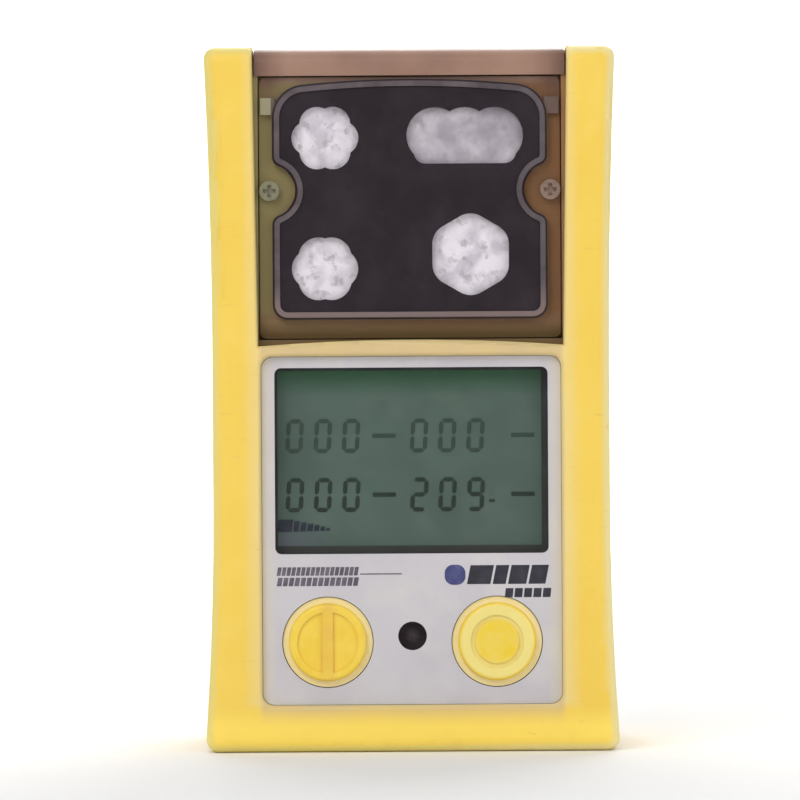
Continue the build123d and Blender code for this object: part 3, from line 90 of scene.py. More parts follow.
class Look:
    """One node material: a Principled shader, and short calls that add detail to it."""

    def __init__(self, name, colour, roughness=0.5, **sockets):
        self.material = bpy.data.materials.new(name)
        self.material.use_nodes = True
        self.tree = self.material.node_tree
        self.shader = self.tree.nodes["Principled BSDF"]
        self.colour = (*colour, 1.0)
        self.shader.inputs["Base Color"].default_value = self.colour
        self.shader.inputs["Roughness"].default_value = roughness
        for socket, value in sockets.items():
            self.shader.inputs[socket.replace("_", " ")].default_value = value
        self.coordinates = self.tree.nodes.new("ShaderNodeTexCoord").outputs["Object"]
        self.heights = []

    def node(self, kind, links=(), **settings):
        """Adds a node. links gives each input a socket or a value, by name or number."""
        made = self.tree.nodes.new(kind)
        for name, value in settings.items():
            setattr(made, name, value)
        for socket, source in dict(links).items():
            if isinstance(source, bpy.types.NodeSocket):
                self.tree.links.new(source, made.inputs[socket])
            else:
                made.inputs[socket].default_value = source
        return made

    def stretched(self, stretch):
        """Coordinates scaled by axis, so that a pattern runs in lines."""
        return self.node("ShaderNodeMapping", {"Vector": self.coordinates, "Scale": stretch}).outputs[0]

    def noise(self, size, detail=3.0, stretch=None, warp=0.0):
        """Cloudy pattern, 0 to 1, with patches about this size."""
        place = self.stretched(stretch) if stretch else self.coordinates
        links = {"Vector": place, "Scale": 0.5 / size, "Detail": detail, "Roughness": 0.55,
                 "Distortion": warp}
        return self.node("ShaderNodeTexNoise", links).outputs["Fac"]

    def cells(self, size, feature="F1"):
        """Distance from the middle, or the edge, of random cells about this size."""
        links = {"Vector": self.coordinates, "Scale": 1.0 / size}
        return self.node("ShaderNodeTexVoronoi", links, feature=feature).outputs["Distance"]

    def wave(self, scale):
        """Waves, 0 to 1, that follow one another along X."""
        links = {"Vector": self.coordinates, "Scale": scale}
        return self.node("ShaderNodeTexWave", links, bands_direction="X").outputs["Fac"]

    def axis(self, name):
        parts = self.node("ShaderNodeSeparateXYZ", {"Vector": self.coordinates})
        return parts.outputs[name]

    def ramp(self, value, start, end, low=0.0, high=1.0):
        """value from start to end becomes low to high, and stays within them."""
        links = {"Value": value, "From Min": start, "From Max": end, "To Min": low, "To Max": high}
        return self.node("ShaderNodeMapRange", links).outputs[0]

    def maths(self, operation, first, second=0.0):
        made = self.node("ShaderNodeMath", {0: first, 1: second}, operation=operation)
        return made.outputs[0]

    def both(self, first, second):
        return self.maths("MULTIPLY", first, second)

    def away(self, low, high):
        """Distance, seen from the front, from the middle of this box."""
        x = self.maths("SUBTRACT", self.axis("X"), (low.x + high.x) / 2)
        z = self.maths("SUBTRACT", self.axis("Z"), (low.z + high.z) / 2)
        return self.maths("SQRT", self.maths("ADD", self.both(x, x), self.both(z, z)))

    def _base(self):
        links = self.shader.inputs["Base Color"].links
        return links[0].from_socket if links else self.colour

    def paint(self, colour, where):
        """Lays a colour over the base colour, as far as where says."""
        made = self.node("ShaderNodeMix", data_type="RGBA")
        base = self._base()
        for index, source in ((0, where), (6, base), (7, (*colour, 1.0))):
            if isinstance(source, bpy.types.NodeSocket):
                self.tree.links.new(source, made.inputs[index])
            else:
                made.inputs[index].default_value = source
        self.tree.links.new(made.outputs[2], self.shader.inputs["Base Color"])
        return self

    def rough(self, value, low, high, start=0.3, end=0.7):
        """Roughness from low to high, as value goes from start to end."""
        self.tree.links.new(self.ramp(value, start, end, low, high), self.shader.inputs["Roughness"])
        return self

    def relief(self, height, depth, strength=1.0):
        """Adds a bump of this real depth to the ones before it."""
        links = {"Height": height, "Distance": depth, "Strength": strength}
        if self.heights:
            links["Normal"] = self.heights[-1]
        made = self.node("ShaderNodeBump", links)
        self.heights.append(made.outputs[0])
        self.tree.links.new(made.outputs[0], self.shader.inputs["Normal"])
        return self

    def grain(self, size, depth):
        """A fine random relief."""
        return self.relief(self.noise(size, 2.0), depth)


# ---------------------------------------------------------------- outer materials
def boot_elastomer():
    """Yellow elastomer, cloudy with use, with painted highlights along its window edges and low on its
    front.
    """
    look = Look("boot_elastomer", srgb(242, 206, 86), 0.5, Specular_IOR_Level=0.4)
    patches = look.noise(14 * MM, 4.0)
    look.paint(srgb(236, 196, 72), look.ramp(patches, 0.42, 0.68, 0.0, 0.6))
    look.paint(srgb(246, 216, 112), look.ramp(look.noise(2.2 * MM, 5.0), 0.5, 0.8, 0.0, 0.35))
    # The front face is painted paler along the edges of the two windows, a painted highlight.
    across = look.maths("ABSOLUTE", look.axis("X"))
    height = look.axis("Z")
    front = look.ramp(look.axis("Y"), boot_low.y + 3 * MM, boot_low.y + 1 * MM)
    cloud = look.ramp(look.noise(5 * MM, 4.0), 0.3, 0.7, 0.7, 1.0)
    edge = look.ramp(across, label_high.x + 3.0 * MM, label_high.x + 0.6 * MM)
    above = look.ramp(height, label_low.z - 1.0 * MM, label_low.z + 0.5 * MM)
    pale = look.both(look.both(edge, above), look.both(front, cloud))
    look.paint(srgb(233, 212, 150), look.both(pale, 0.8))
    inside = look.ramp(across, label_high.x + 0.6 * MM, label_high.x - 0.2 * MM)
    under = look.ramp(height, label_low.z - 3.6 * MM, label_low.z - 0.6 * MM)
    bars = look.both(look.both(inside, under), look.both(front, cloud))
    look.paint(srgb(206, 180, 136), look.both(bars, 0.85))
    # Painted highlight: the front face is painted lighter near its foot, against the shade where it meets
    # the floor.
    base = look.ramp(height, 7 * MM, 4 * MM)
    look.paint(srgb(255, 224, 98), look.both(look.both(base, front), 0.8))
    # The outer edge keeps a faint green tinge, and is paler at the right.
    rim = look.both(look.ramp(look.axis("Y"), boot_low.y + 0.15 * MM, boot_low.y + 0.8 * MM), front)
    look.paint(srgb(220, 214, 140), look.both(rim, 0.6))
    look.paint(srgb(246, 228, 172), look.both(look.both(rim, look.ramp(look.axis("X"), 0.0, 20 * MM)), 0.6))
    # A little grime gathers low on the boot, and thin scuffs cross the corners.
    low = look.ramp(height, 5 * MM, 0.0)
    dust = look.both(low, look.ramp(look.noise(1.6 * MM, 6.0), 0.5, 0.75))
    look.paint(srgb(206, 172, 84), look.both(dust, 0.2))
    scuffs = look.ramp(look.noise(2.5 * MM, 4.0, (1.0, 1.0, 7.0), 0.6), 0.66, 0.74)
    look.paint(srgb(226, 190, 96), look.both(scuffs, 0.5))
    look.rough(look.noise(3 * MM, 4.0), 0.4, 0.58)
    look.grain(0.16 * MM, 0.02 * MM)
    return look.relief(look.noise(6 * MM, 2.0), 0.03 * MM)


def textured_plastic(name, colour, roughness=0.5):
    """Spark-eroded moulding: a fine pebble with a faint mottled sheen."""
    look = Look(name, colour, roughness)
    lighter = tuple(1.5 * c + 0.006 for c in colour)
    look.paint(lighter, look.ramp(look.noise(4 * MM, 5.0), 0.45, 0.75, 0.0, 0.7))
    look.rough(look.noise(1.5 * MM, 3.0), roughness - 0.1, roughness + 0.1)
    return look.relief(look.cells(0.25 * MM, "SMOOTH_F1"), 0.015 * MM)


def cover_plastic():
    """Dark moulding with a painted highlight on the bead round its edge, and a painted brown reflection of
    the boot, with painted shade and highlights, on the flange under it.
    """
    look = Look("cover_plastic", srgb(32, 22, 29), 0.42, Specular_IOR_Level=0.25)
    look.paint(srgb(46, 37, 45), look.ramp(look.noise(4 * MM, 5.0), 0.42, 0.72, 0.0, 0.9))
    depth = look.axis("Y")
    height = look.axis("Z")
    across = look.maths("ABSOLUTE", look.axis("X"))
    left = look.ramp(look.axis("X"), 0.0, -20 * MM)
    # Painted highlight on the bead's crest, patchy along its length.
    bead = look.ramp(depth, cover_low.y + BEAD_DEPTH, cover_low.y + BEAD_CREST)
    highlight_patches = look.ramp(look.noise(2 * MM, 4.0), 0.3, 0.7, 0.5, 1.0)
    look.paint(srgb(100, 90, 94), look.both(bead, highlight_patches))
    # Low on the cover the bead's painted highlight is paler still.
    low = look.ramp(height, cover_low.z + 8 * MM, cover_low.z + 5 * MM)
    look.paint(srgb(120, 104, 102), look.both(bead, low))
    # The bead's outer slope carries the same painted highlight as its crest.
    start = cover_low.y + SLOPE_DEPTH
    slope = look.both(look.ramp(depth, start, start + 0.06 * MM), rim_area(look))
    look.paint(srgb(108, 94, 86), look.both(slope, 0.85))
    # The flange is painted brown, and greener at the left: a painted reflection of the yellow boot on the
    # dark plastic.
    start = cover_low.y + FLANGE_DEPTH
    flange = look.ramp(depth, start, start + 0.26 * MM)
    brown = look.ramp(look.noise(7 * MM, 4.0), 0.35, 0.7, 0.8, 1.0)
    look.paint(srgb(126, 88, 54), look.both(flange, brown))
    look.paint(srgb(134, 124, 82), look.both(flange, look.both(left, brown)))
    # Painted highlight just under the raised part and the alarm light, painted shade at the corners and low
    # down.
    under = look.ramp(height, cover_low.z + 4.5 * MM, cover_low.z + 3.2 * MM)
    look.paint(srgb(124, 96, 70), look.both(flange, look.both(under, 0.8)))
    foot = look.ramp(height, cover_low.z + 2.6 * MM, cover_low.z + 0.6 * MM)
    look.paint(srgb(84, 64, 30), look.both(flange, foot))
    top = look.ramp(height, cover_high.z - 1.4 * MM, cover_high.z - 0.4 * MM)
    look.paint(srgb(140, 112, 98), look.both(flange, top))
    corner = look.both(look.ramp(across, 18.5 * MM, 21.5 * MM),
                       look.ramp(height, cover_high.z - 5 * MM, cover_high.z - 1 * MM))
    look.paint(srgb(98, 70, 58), look.both(flange, look.both(corner, 0.8)))
    # The two lugs stand out from the flange.
    start = cover_low.y + LUG_DEPTH
    lug = look.both(look.ramp(across, LUG_INNER, LUG_INNER + 0.1 * MM),
                    look.ramp(depth, start, start - 0.2 * MM))
    look.paint(srgb(104, 84, 78), lug)
    look.paint(srgb(150, 144, 116), look.both(lug, left))
    look.rough(look.noise(1.2 * MM, 4.0), 0.32, 0.5)
    look.relief(look.noise(1.4 * MM, 3.0), 0.03 * MM)
    return look.relief(look.noise(0.2 * MM, 2.0), 0.01 * MM)


def rim_area(look):
    """1 outside the field that holds the gas ports, 0 inside it."""
    across = look.maths("ABSOLUTE", look.axis("X"))
    height = look.axis("Z")
    low, high = cover_low.z + FIELD_BASE, cover_high.z - FIELD_TOP
    sides = look.ramp(across, FIELD_HALF, FIELD_HALF + FIELD_BLEND)
    base = look.ramp(height, low, low - FIELD_BLEND)
    top = look.ramp(height, high, high + FIELD_BLEND)
    return look.maths("MAXIMUM", sides, look.maths("MAXIMUM", base, top))


def case_plastic():
    """Black moulding, with a painted brown reflection of the boot where the bay's gutter shows it, greener
    at the left, and painted shade low in the bay.
    """
    look = textured_plastic("case_plastic", srgb(40, 36, 38), 0.5)
    height = look.axis("Z")
    # Painted reflection of the yellow boot in the bay's gutter, greener at the left.
    in_bay = look.both(look.ramp(height, label_high.z, label_high.z + 1 * MM),
                       look.ramp(look.axis("Y"), cover_high.y + 3 * MM, cover_high.y + 1 * MM))
    look.paint(srgb(150, 108, 68), in_bay)
    left = look.ramp(look.axis("X"), 0.0, -20 * MM)
    look.paint(srgb(146, 134, 90), look.both(in_bay, left))
    # Painted shade low in the bay.
    low = look.ramp(height, cover_low.z + 3 * MM, cover_low.z)
    return look.paint(srgb(104, 80, 44), look.both(in_bay, low))


def label_film():
    """Pale printed film, a little yellower along its sides."""
    look = Look("label_film", srgb(200, 196, 201), 0.42)
    look.paint(srgb(188, 183, 191), look.ramp(look.noise(9 * MM, 4.0), 0.4, 0.7, 0.0, 0.7))
    look.paint(srgb(212, 208, 203), look.ramp(look.noise(3 * MM, 5.0), 0.5, 0.75, 0.0, 0.5))
    edge = look.ramp(look.maths("ABSOLUTE", look.axis("X")), label_high.x - 2.2 * MM, label_high.x)
    look.paint(srgb(218, 208, 186), look.both(edge, 0.7))
    look.rough(look.noise(0.8 * MM), 0.36, 0.5)
    return look.relief(look.noise(0.12 * MM, 2.0), 0.006 * MM)


def rating_film():
    """Blank silvery film with brushed lines and a dark printed frame."""
    look = Look("rating_film", srgb(150, 151, 154), 0.32, Metallic=0.5)
    look.paint(srgb(128, 129, 133), look.ramp(look.noise(1.2 * MM, 5.0, (0.12, 1.0, 3.0)), 0.4, 0.7))
    across = look.maths("ABSOLUTE", look.axis("X"))
    height = look.maths("ABSOLUTE", look.maths("SUBTRACT", look.axis("Z"), (tape_low.z + tape_high.z) / 2))
    inset = 0.9 * MM
    line = 0.25 * MM
    for axis, edge in ((across, tape_high.x - inset), (height, (tape_high.z - tape_low.z) / 2 - inset)):
        outside = look.ramp(axis, edge, edge + 0.03 * MM)
        inside = look.ramp(axis, edge + line + 0.03 * MM, edge + line)
        look.paint(srgb(44, 44, 48), look.both(outside, inside))
    return look.rough(look.noise(0.8 * MM, 3.0, (0.2, 1.0, 2.0)), 0.26, 0.42)


def sounder_mesh():
    """Dark woven mesh, paler at the middle of the port."""
    look = Look("sounder_mesh", srgb(66, 56, 61), 0.8, Sheen_Weight=0.2)
    look.paint(srgb(106, 94, 102), look.ramp(look.away(mesh_low, mesh_high), 1.3 * MM, 0.3 * MM))
    weave = look.cells(0.3 * MM, "SMOOTH_F1")
    look.paint(srgb(36, 31, 34), look.ramp(weave, 0.5, 0.8, 0.0, 0.7))
    return look.relief(weave, 0.05 * MM)


def window_plastic():
    """Clear window, almost wholly transparent, with faint smears."""
    look = Look("window_plastic", srgb(30, 40, 36), 0.08, Alpha=0.12, IOR=1.49)
    look.rough(look.noise(2 * MM, 5.0), 0.05, 0.16, 0.45, 0.7)
    return look


def lcd_glass():
    """Grey-green glass with cloudy patches."""
    look = Look("lcd_glass", srgb(98, 121, 111), 0.3)
    look.paint(srgb(86, 108, 98), look.ramp(look.noise(6 * MM, 3.0), 0.4, 0.65, 0.0, 0.8))
    look.paint(srgb(110, 128, 116), look.ramp(look.noise(2.4 * MM, 3.0), 0.52, 0.72, 0.0, 0.5))
    # The glass is painted darker green along its top, a painted shadow of the window's upper edge, and is
    # lilac in the lower left corner.
    top = look.ramp(look.axis("Z"), view_high - 4.5 * MM, view_high - 0.8 * MM)
    look.paint(srgb(44, 104, 62), look.both(top, 0.9))
    corner = look.both(look.ramp(look.axis("X"), view_left + 9 * MM, view_left + 2 * MM),
                       look.ramp(look.axis("Z"), view_low + 3.8 * MM, view_low + 2.2 * MM))
    look.paint(srgb(112, 116, 132), look.both(corner, 0.7))
    return look.relief(look.noise(0.3 * MM), 0.004 * MM)


def lcd_ink():
    """Segments: faint in the upper row, strong in the lower one."""
    look = Look("lcd_ink", srgb(28, 44, 37), 0.35)
    look.paint(srgb(44, 62, 54), look.ramp(look.noise(1.5 * MM, 3.0), 0.4, 0.7, 0.0, 0.9))
    upper = look.ramp(look.axis("Z"), view_low + 12 * MM, view_low + 14 * MM)
    return look.paint(srgb(64, 84, 76), look.both(upper, 0.75))


def button_elastomer():
    """Yellow caps with a paler skirt."""
    look = Look("button_elastomer", srgb(240, 204, 60), 0.4, Coat_Weight=0.15, Coat_Roughness=0.3)
    look.paint(srgb(246, 216, 92), look.ramp(look.noise(2.5 * MM, 4.0), 0.45, 0.7, 0.0, 0.6))
    # The left cap is darker and more orange down its middle; the right one is darker inside its ring.
    patch = look.ramp(look.noise(1.6 * MM, 3.0), 0.3, 0.6, 0.5, 1.0)
    cap_middle = (left_cap[0].x + left_cap[1].x) / 2
    off = look.maths("ABSOLUTE", look.maths("SUBTRACT", look.axis("X"), cap_middle))
    middle_band = look.both(look.ramp(off, 1.6 * MM, 0.5 * MM), patch)
    look.paint(srgb(224, 176, 78), look.both(middle_band, 0.6))
    away = look.away(*right_cap)
    look.paint(srgb(238, 224, 140), look.ramp(away, 5.8 * MM, 5.4 * MM, 0.0, 0.8))
    look.paint(srgb(238, 204, 44), look.both(look.ramp(away, 3.8 * MM, 3.0 * MM), patch))
    skirt = look.ramp(look.axis("Y"), label_low.y - 0.2 * MM, label_low.y + 0.1 * MM)
    look.paint(srgb(244, 226, 166), look.both(skirt, 0.9))
    look.rough(look.noise(0.9 * MM), 0.34, 0.48)
    return look.grain(0.14 * MM, 0.012 * MM)


def alarm_lens():
    """Smoked bar with fine flutes, with a painted highlight along its top, and darker at its ends."""
    look = Look("alarm_lens", srgb(160, 124, 106), 0.3, Coat_Weight=0.35, Coat_Roughness=0.18)
    look.paint(srgb(132, 98, 82), look.ramp(look.noise(8 * MM, 4.0), 0.4, 0.7, 0.0, 0.8))
    # Painted highlight along the top, which faces the light.
    top = look.ramp(look.axis("Z"), boot_high.z - 1.4 * MM, boot_high.z, 0.0, 0.7)
    look.paint(srgb(182, 150, 134), top)
    ends = look.ramp(look.maths("ABSOLUTE", look.axis("X")), lens_end - 5 * MM, lens_end)
    look.paint(srgb(98, 66, 52), look.both(ends, 0.8))
    look.rough(look.noise(3 * MM, 2.0), 0.28, 0.36)
    flutes = look.wave(160.0)
    return look.relief(flutes, 0.03 * MM, 0.5)


def filter_membrane():
    """Fibrous gas membrane, mottled lilac grey, with a greyer one over the oxygen cell."""
    look = Look("filter_membrane", srgb(228, 221, 228), 0.85, Sheen_Weight=0.2)
    mottle = look.ramp(look.noise(1.9 * MM, 3.0, None, 0.5), 0.42, 0.64)
    look.paint(srgb(188, 180, 190), look.both(mottle, 0.85))
    look.paint(srgb(160, 154, 162), look.ramp(look.noise(0.8 * MM, 3.0), 0.56, 0.7, 0.0, 0.7))
    grey = look.ramp(look.noise(2.6 * MM), 0.35, 0.65, 0.45, 1.0)
    look.paint(srgb(150, 142, 151), look.both(oxygen_area(look), grey))
    look.relief(look.noise(1.6 * MM, 2.0), 0.12 * MM)
    return look.relief(look.noise(0.12 * MM, 5.0, None, 1.5), 0.03 * MM)


def oxygen_area(look):
    """1 at the oxygen cell's membrane and beyond it to the right and above, 0 elsewhere."""
    blend = 0.4 * MM
    return look.both(look.ramp(look.axis("X"), oxygen_low.x - blend, oxygen_low.x),
                     look.ramp(look.axis("Z"), oxygen_low.z - blend, oxygen_low.z))


def rubber(name, colour):
    """Matt rubber with a dusty bloom."""
    look = Look(name, colour, 0.75)
    dusty = tuple(1.6 * c + 0.01 for c in colour)
    look.paint(dusty, look.ramp(look.noise(1.5 * MM, 5.0), 0.5, 0.8, 0.0, 0.7))
    return look.grain(0.12 * MM, 0.015 * MM)


# ---------------------------------------------------------------- metals
def turned_metal(name, colour, roughness=0.3, stretch=(1.0, 1.0, 1.0)):
    """Bare or plated metal with duller patches. stretch draws its fine pattern out into lines."""
    look = Look(name, colour, roughness, Metallic=1.0)
    dull = tuple(0.7 * c for c in colour)
    look.paint(dull, look.ramp(look.noise(1.2 * MM, 5.0), 0.5, 0.75, 0.0, 0.6))
    look.rough(look.noise(0.6 * MM, 4.0, stretch), roughness - 0.1, roughness + 0.14)
    return look.relief(look.noise(0.15 * MM, 3.0, stretch), 0.004 * MM)


def clip_steel():
    """Plated sheet, drawn lengthwise, with handling scratches."""
    look = turned_metal("clip_steel", srgb(150, 151, 154), 0.42, (18.0, 18.0, 1.0))
    scratches = look.ramp(look.noise(1.8 * MM, 3.0, (9.0, 9.0, 1.0), 0.8), 0.68, 0.72)
    look.paint(srgb(112, 112, 114), look.both(scratches, 0.7))
    return look


def dull_zinc():
    """Cover screws: tarnished plate, browner at the right."""
    look = Look("dull_zinc", srgb(132, 130, 106), 0.55, Metallic=0.5)
    look.paint(srgb(140, 116, 104), look.ramp(look.axis("X"), -5 * MM, 5 * MM))
    look.paint(srgb(92, 84, 70), look.ramp(look.noise(0.7 * MM, 4.0), 0.5, 0.7, 0.0, 0.4))
    look.rough(look.noise(0.5 * MM, 4.0), 0.42, 0.65)
    return look.relief(look.noise(0.2 * MM, 3.0), 0.01 * MM)


# ---------------------------------------------------------------- inner materials
def board_laminate():
    """Green solder mask over tracks, with pale pads."""
    look = Look("board_laminate", srgb(24, 96, 52), 0.3, Coat_Weight=0.4, Coat_Roughness=0.2)
    tracks = look.cells(1.6 * MM, "DISTANCE_TO_EDGE")
    look.paint(srgb(40, 128, 72), look.ramp(tracks, 0.12, 0.05))
    pads = look.cells(1.1 * MM)
    look.paint(srgb(190, 190, 180), look.ramp(pads, 0.12, 0.08))
    return look.relief(tracks, 0.03 * MM, 0.4)


def banded(name, dark, light, size):
    """Fine alternate bands, as in a striped silicone connector or a ribbon of tracks."""
    look = Look(name, dark, 0.45)
    return look.paint(light, look.ramp(look.wave(0.3 / size), 0.45, 0.55))


def wrapped_cell():
    look = Look("cell_wrap", srgb(40, 92, 165), 0.25, Coat_Weight=0.5)
    look.paint(srgb(62, 116, 186), look.ramp(look.noise(6 * MM, 4.0), 0.45, 0.7, 0.0, 0.7))
    return look.relief(look.noise(3 * MM, 3.0, (1.0, 1.0, 5.0)), 0.05 * MM, 0.6)


def sintered_disc():
    look = turned_metal("sensor_steel", srgb(176, 174, 168), 0.4)
    return look.relief(look.cells(0.3 * MM), 0.05 * MM)


MAKERS = {
    "boot_elastomer": boot_elastomer,
    "case_plastic": case_plastic,
    "cover_plastic": cover_plastic,
    "seal_rubber": lambda: rubber("seal_rubber", srgb(44, 44, 46)),
    "zinc_steel": lambda: turned_metal("zinc_steel", srgb(188, 188, 186), 0.3),
    "black_steel": lambda: turned_metal("black_steel", srgb(70, 70, 72), 0.42),
    "spring_steel": lambda: turned_metal("spring_steel", srgb(168, 168, 170), 0.25),
    "clip_steel": clip_steel,
    "insert_brass": lambda: turned_metal("insert_brass", srgb(214, 176, 98), 0.3),
    "contact_gold": lambda: turned_metal("contact_gold", srgb(232, 190, 96), 0.22),
    "label_film": label_film,
    "rating_film": rating_film,
    "sounder_mesh": sounder_mesh,
    "dull_zinc": dull_zinc,
    "window_plastic": window_plastic,
    "lcd_glass": lcd_glass,
    "light_guide": lambda: textured_plastic("light_guide", srgb(226, 232, 228), 0.35),
    "zebra_silicone": lambda: banded("zebra_silicone", srgb(60, 56, 66), srgb(196, 190, 200), 0.15 * MM),
    "white_plastic": lambda: textured_plastic("white_plastic", srgb(214, 212, 206), 0.45),
    "grey_plastic": lambda: textured_plastic("grey_plastic", srgb(92, 94, 98), 0.5),
    "button_elastomer": button_elastomer,
    "dome_silicone": lambda: rubber("dome_silicone", srgb(196, 196, 192)),
    "filter_membrane": filter_membrane,
    "sounder_plastic": lambda: textured_plastic("sounder_plastic", srgb(34, 34, 36), 0.4),
    "board_laminate": board_laminate,
    "flex_film": lambda: banded("flex_film", srgb(176, 112, 44), srgb(206, 148, 76), 0.5 * MM),
    "sensor_white": lambda: textured_plastic("sensor_white", srgb(218, 216, 210), 0.4),
    "sensor_steel": sintered_disc,
    "shield_tin": lambda: turned_metal("shield_tin", srgb(196, 194, 188), 0.35),
    "alarm_lens": alarm_lens,
    "led_package": lambda: textured_plastic("led_package", srgb(232, 222, 186), 0.3),
    "cell_wrap": wrapped_cell,
    "motor_steel": lambda: turned_metal("motor_steel", srgb(186, 186, 184), 0.25),
    "weight_tungsten": lambda: turned_metal("weight_tungsten", srgb(120, 120, 122), 0.5),
}


def dress_nodes():
    """Gives every CAD node the look of its slot."""
    looks = {}
    for part in frame["record"]["subparts"]:
        slot = part["material_slot"]
        if slot not in looks:
            looks[slot] = MAKERS[slot]().material
        node = frame["nodes"][part["node"]]
        for material_slot in node.material_slots:
            material_slot.material = looks[slot]


# ---------------------------------------------------------------- printed and etched marks
def prisms(name, outlines, front, back, material):
    """One piece on the case, made of flat shapes, each a list of (x, z) points going round."""
    mesh = bmesh.new()
    for outline in outlines:
        ring = [mesh.verts.new((x, front, z)) for x, z in outline]
        face = mesh.faces.new(ring)
        made = bmesh.ops.extrude_face_region(mesh, geom=[face])
        moved = [v for v in made["geom"] if isinstance(v, bmesh.types.BMVert)]
        bmesh.ops.translate(mesh, verts=moved, vec=(0, back - front, 0))
    bmesh.ops.recalc_face_normals(mesh, faces=mesh.faces)
    data = bpy.data.meshes.new(name)
    mesh.to_mesh(data)
    mesh.free()
    piece = bpy.data.objects.new(name, data)
    bpy.context.scene.collection.objects.link(piece)
    data.materials.append(material)
    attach(piece, "body")
    return piece


def bar(x, z, width, height, lean=0.0):
    """A slanted bar, centred on (x, z)."""
    w, h = width / 2, height / 2
    shift = lean * h
    return [(x - w - shift, z - h), (x + w - shift, z - h), (x + w + shift, z + h), (x - w + shift, z + h)]


def rounded_bar(x, z, width, height, corner, steps=6):
    """An upright bar with round corners, centred on (x, z)."""
    points = []
    for turn, (sx, sz) in enumerate(((1, 1), (-1, 1), (-1, -1), (1, -1))):
        cx = x + sx * (width / 2 - corner)
        cz = z + sz * (height / 2 - corner)
        for step in range(steps + 1):
            angle = math.radians(90 * (turn + step / steps))
            points.append((cx + corner * math.cos(angle), cz + corner * math.sin(angle)))
    return points


# The seven strokes of a digit: a top, b and c right, d bottom, e and f left, g middle.
STROKES = {"0": "abcdef", "2": "abged", "9": "abcdfg"}
DIGIT_WIDTH = 2.7 * MM
DIGIT_HEIGHT = 5.3 * MM
DIGIT_PITCH = 4.35 * MM
STROKE = 0.7 * MM  # thickness of a stroke
STROKE_GAP = 0.1 * MM  # between the tips of two strokes
LEAN = 0.06  # how far a digit leans to the right, as a share of its height

UPPER_ROW = 18.1 * MM  # middle of each row of readings, above the window's lower edge
LOWER_ROW = 9.0 * MM
LEFT_READING = -18.0 * MM  # first digit of each reading, from the window's middle
RIGHT_READING = 1.2 * MM
LEFT_DASH = 13.8 * MM  # each dash, from the first digit of its reading
RIGHT_DASH = 16.0 * MM
DASH = (3.6 * MM, 0.7 * MM)  # width and height
POINT = (0.9 * MM, 0.5 * MM)  # the mark after the last reading
POINT_SHIFT = 11.2 * MM
POINT_DROP = 1.0 * MM

STATUS_ROW = 4.3 * MM  # middle of the status segments, above the window's lower edge
STATUS_INSET = 0.3 * MM
STATUS_WIDTHS = (2.3, 0.9, 0.9, 0.9, 0.8, 0.7, 0.6)  # millimetres
STATUS_GAP = 0.16
STATUS_HEIGHT = 1.9
STATUS_STEP = 0.24  # each segment is this much shorter than the one before
STATUS_SINK = 0.1  # and its middle is this much lower


def stroke(x, z, length, upright, lean, about):
    """A pointed stroke centred on (x, z), leaned about the height of the digit's middle."""
    half, tip = length / 2, STROKE / 2
    flat = [(-half, 0), (-half + tip, tip), (half - tip, tip),
            (half, 0), (half - tip, -tip), (-half + tip, -tip)]
    points = [(v, u) if upright else (u, v) for u, v in flat]
    if upright:
        points.reverse()
    return [(x + u + lean * (z + v - about), z + v) for u, v in points]


def digit(character, x, z):
    """The strokes of one digit, centred on (x, z)."""
    w = (DIGIT_WIDTH - STROKE) / 2
    h = (DIGIT_HEIGHT - STROKE) / 2
    spots = {
        "a": (0, h, False), "g": (0, 0, False), "d": (0, -h, False),
        "b": (w, h / 2, True), "c": (w, -h / 2, True), "e": (-w, -h / 2, True), "f": (-w, h / 2, True),
    }
    shapes = []
    for name in STROKES[character]:
        dx, dz, upright = spots[name]
        length = (h if upright else 2 * w) - STROKE_GAP
        shapes.append(stroke(x + dx, z + dz, length, upright, LEAN, z))
    return shapes


def reading(text, start, z):
    """A row of digits from start to the right."""
    shapes = []
    for index, character in enumerate(text):
        shapes += digit(character, start + index * DIGIT_PITCH, z)
    return shapes


def display_marks(material):
    """Two rows of two readings, each followed by a dash."""
    middle = (view_left + view_right) / 2
    left, right = middle + LEFT_READING, middle + RIGHT_READING
    upper, lower = view_low + UPPER_ROW, view_low + LOWER_ROW
    shapes = reading("000", left, upper) + reading("000", right, upper)
    shapes += reading("000", left, lower) + reading("209", right, lower)
    for z in (upper, lower):
        shapes.append(bar(left + LEFT_DASH, z, *DASH))
        shapes.append(bar(right + RIGHT_DASH, z, *DASH))
    shapes.append(bar(right + POINT_SHIFT, lower - POINT_DROP, *POINT))
    prisms("lcd_digits", shapes, glass_front - INK, glass_front, material)


def status_marks():
    """A row of status segments that shortens from the left edge to the right."""
    look = Look("lcd_status_ink", srgb(36, 40, 62), 0.4)
    look.paint(srgb(54, 60, 78), look.ramp(look.noise(1.2 * MM), 0.45, 0.65))
    z = view_low + STATUS_ROW
    x = view_left + STATUS_INSET
    shapes = []
    for index, width in enumerate(STATUS_WIDTHS):
        height = (STATUS_HEIGHT - STATUS_STEP * index) * MM
        shapes.append(bar(x + width * MM / 2, z - STATUS_SINK * index * MM, width * MM, height, 0.15))
        x += (width + STATUS_GAP) * MM
    prisms("lcd_status", shapes, glass_front - INK, glass_front, look.material)


MASK_REACH = 0.6 * MM  # how far the mask goes behind the label
MASK_LEFT = 0.35 * MM  # what shows of it on each side of the window
MASK_RIGHT = 0.95 * MM
MASK_LOW = 1.15 * MM
MASK_HIGH = 0.45 * MM


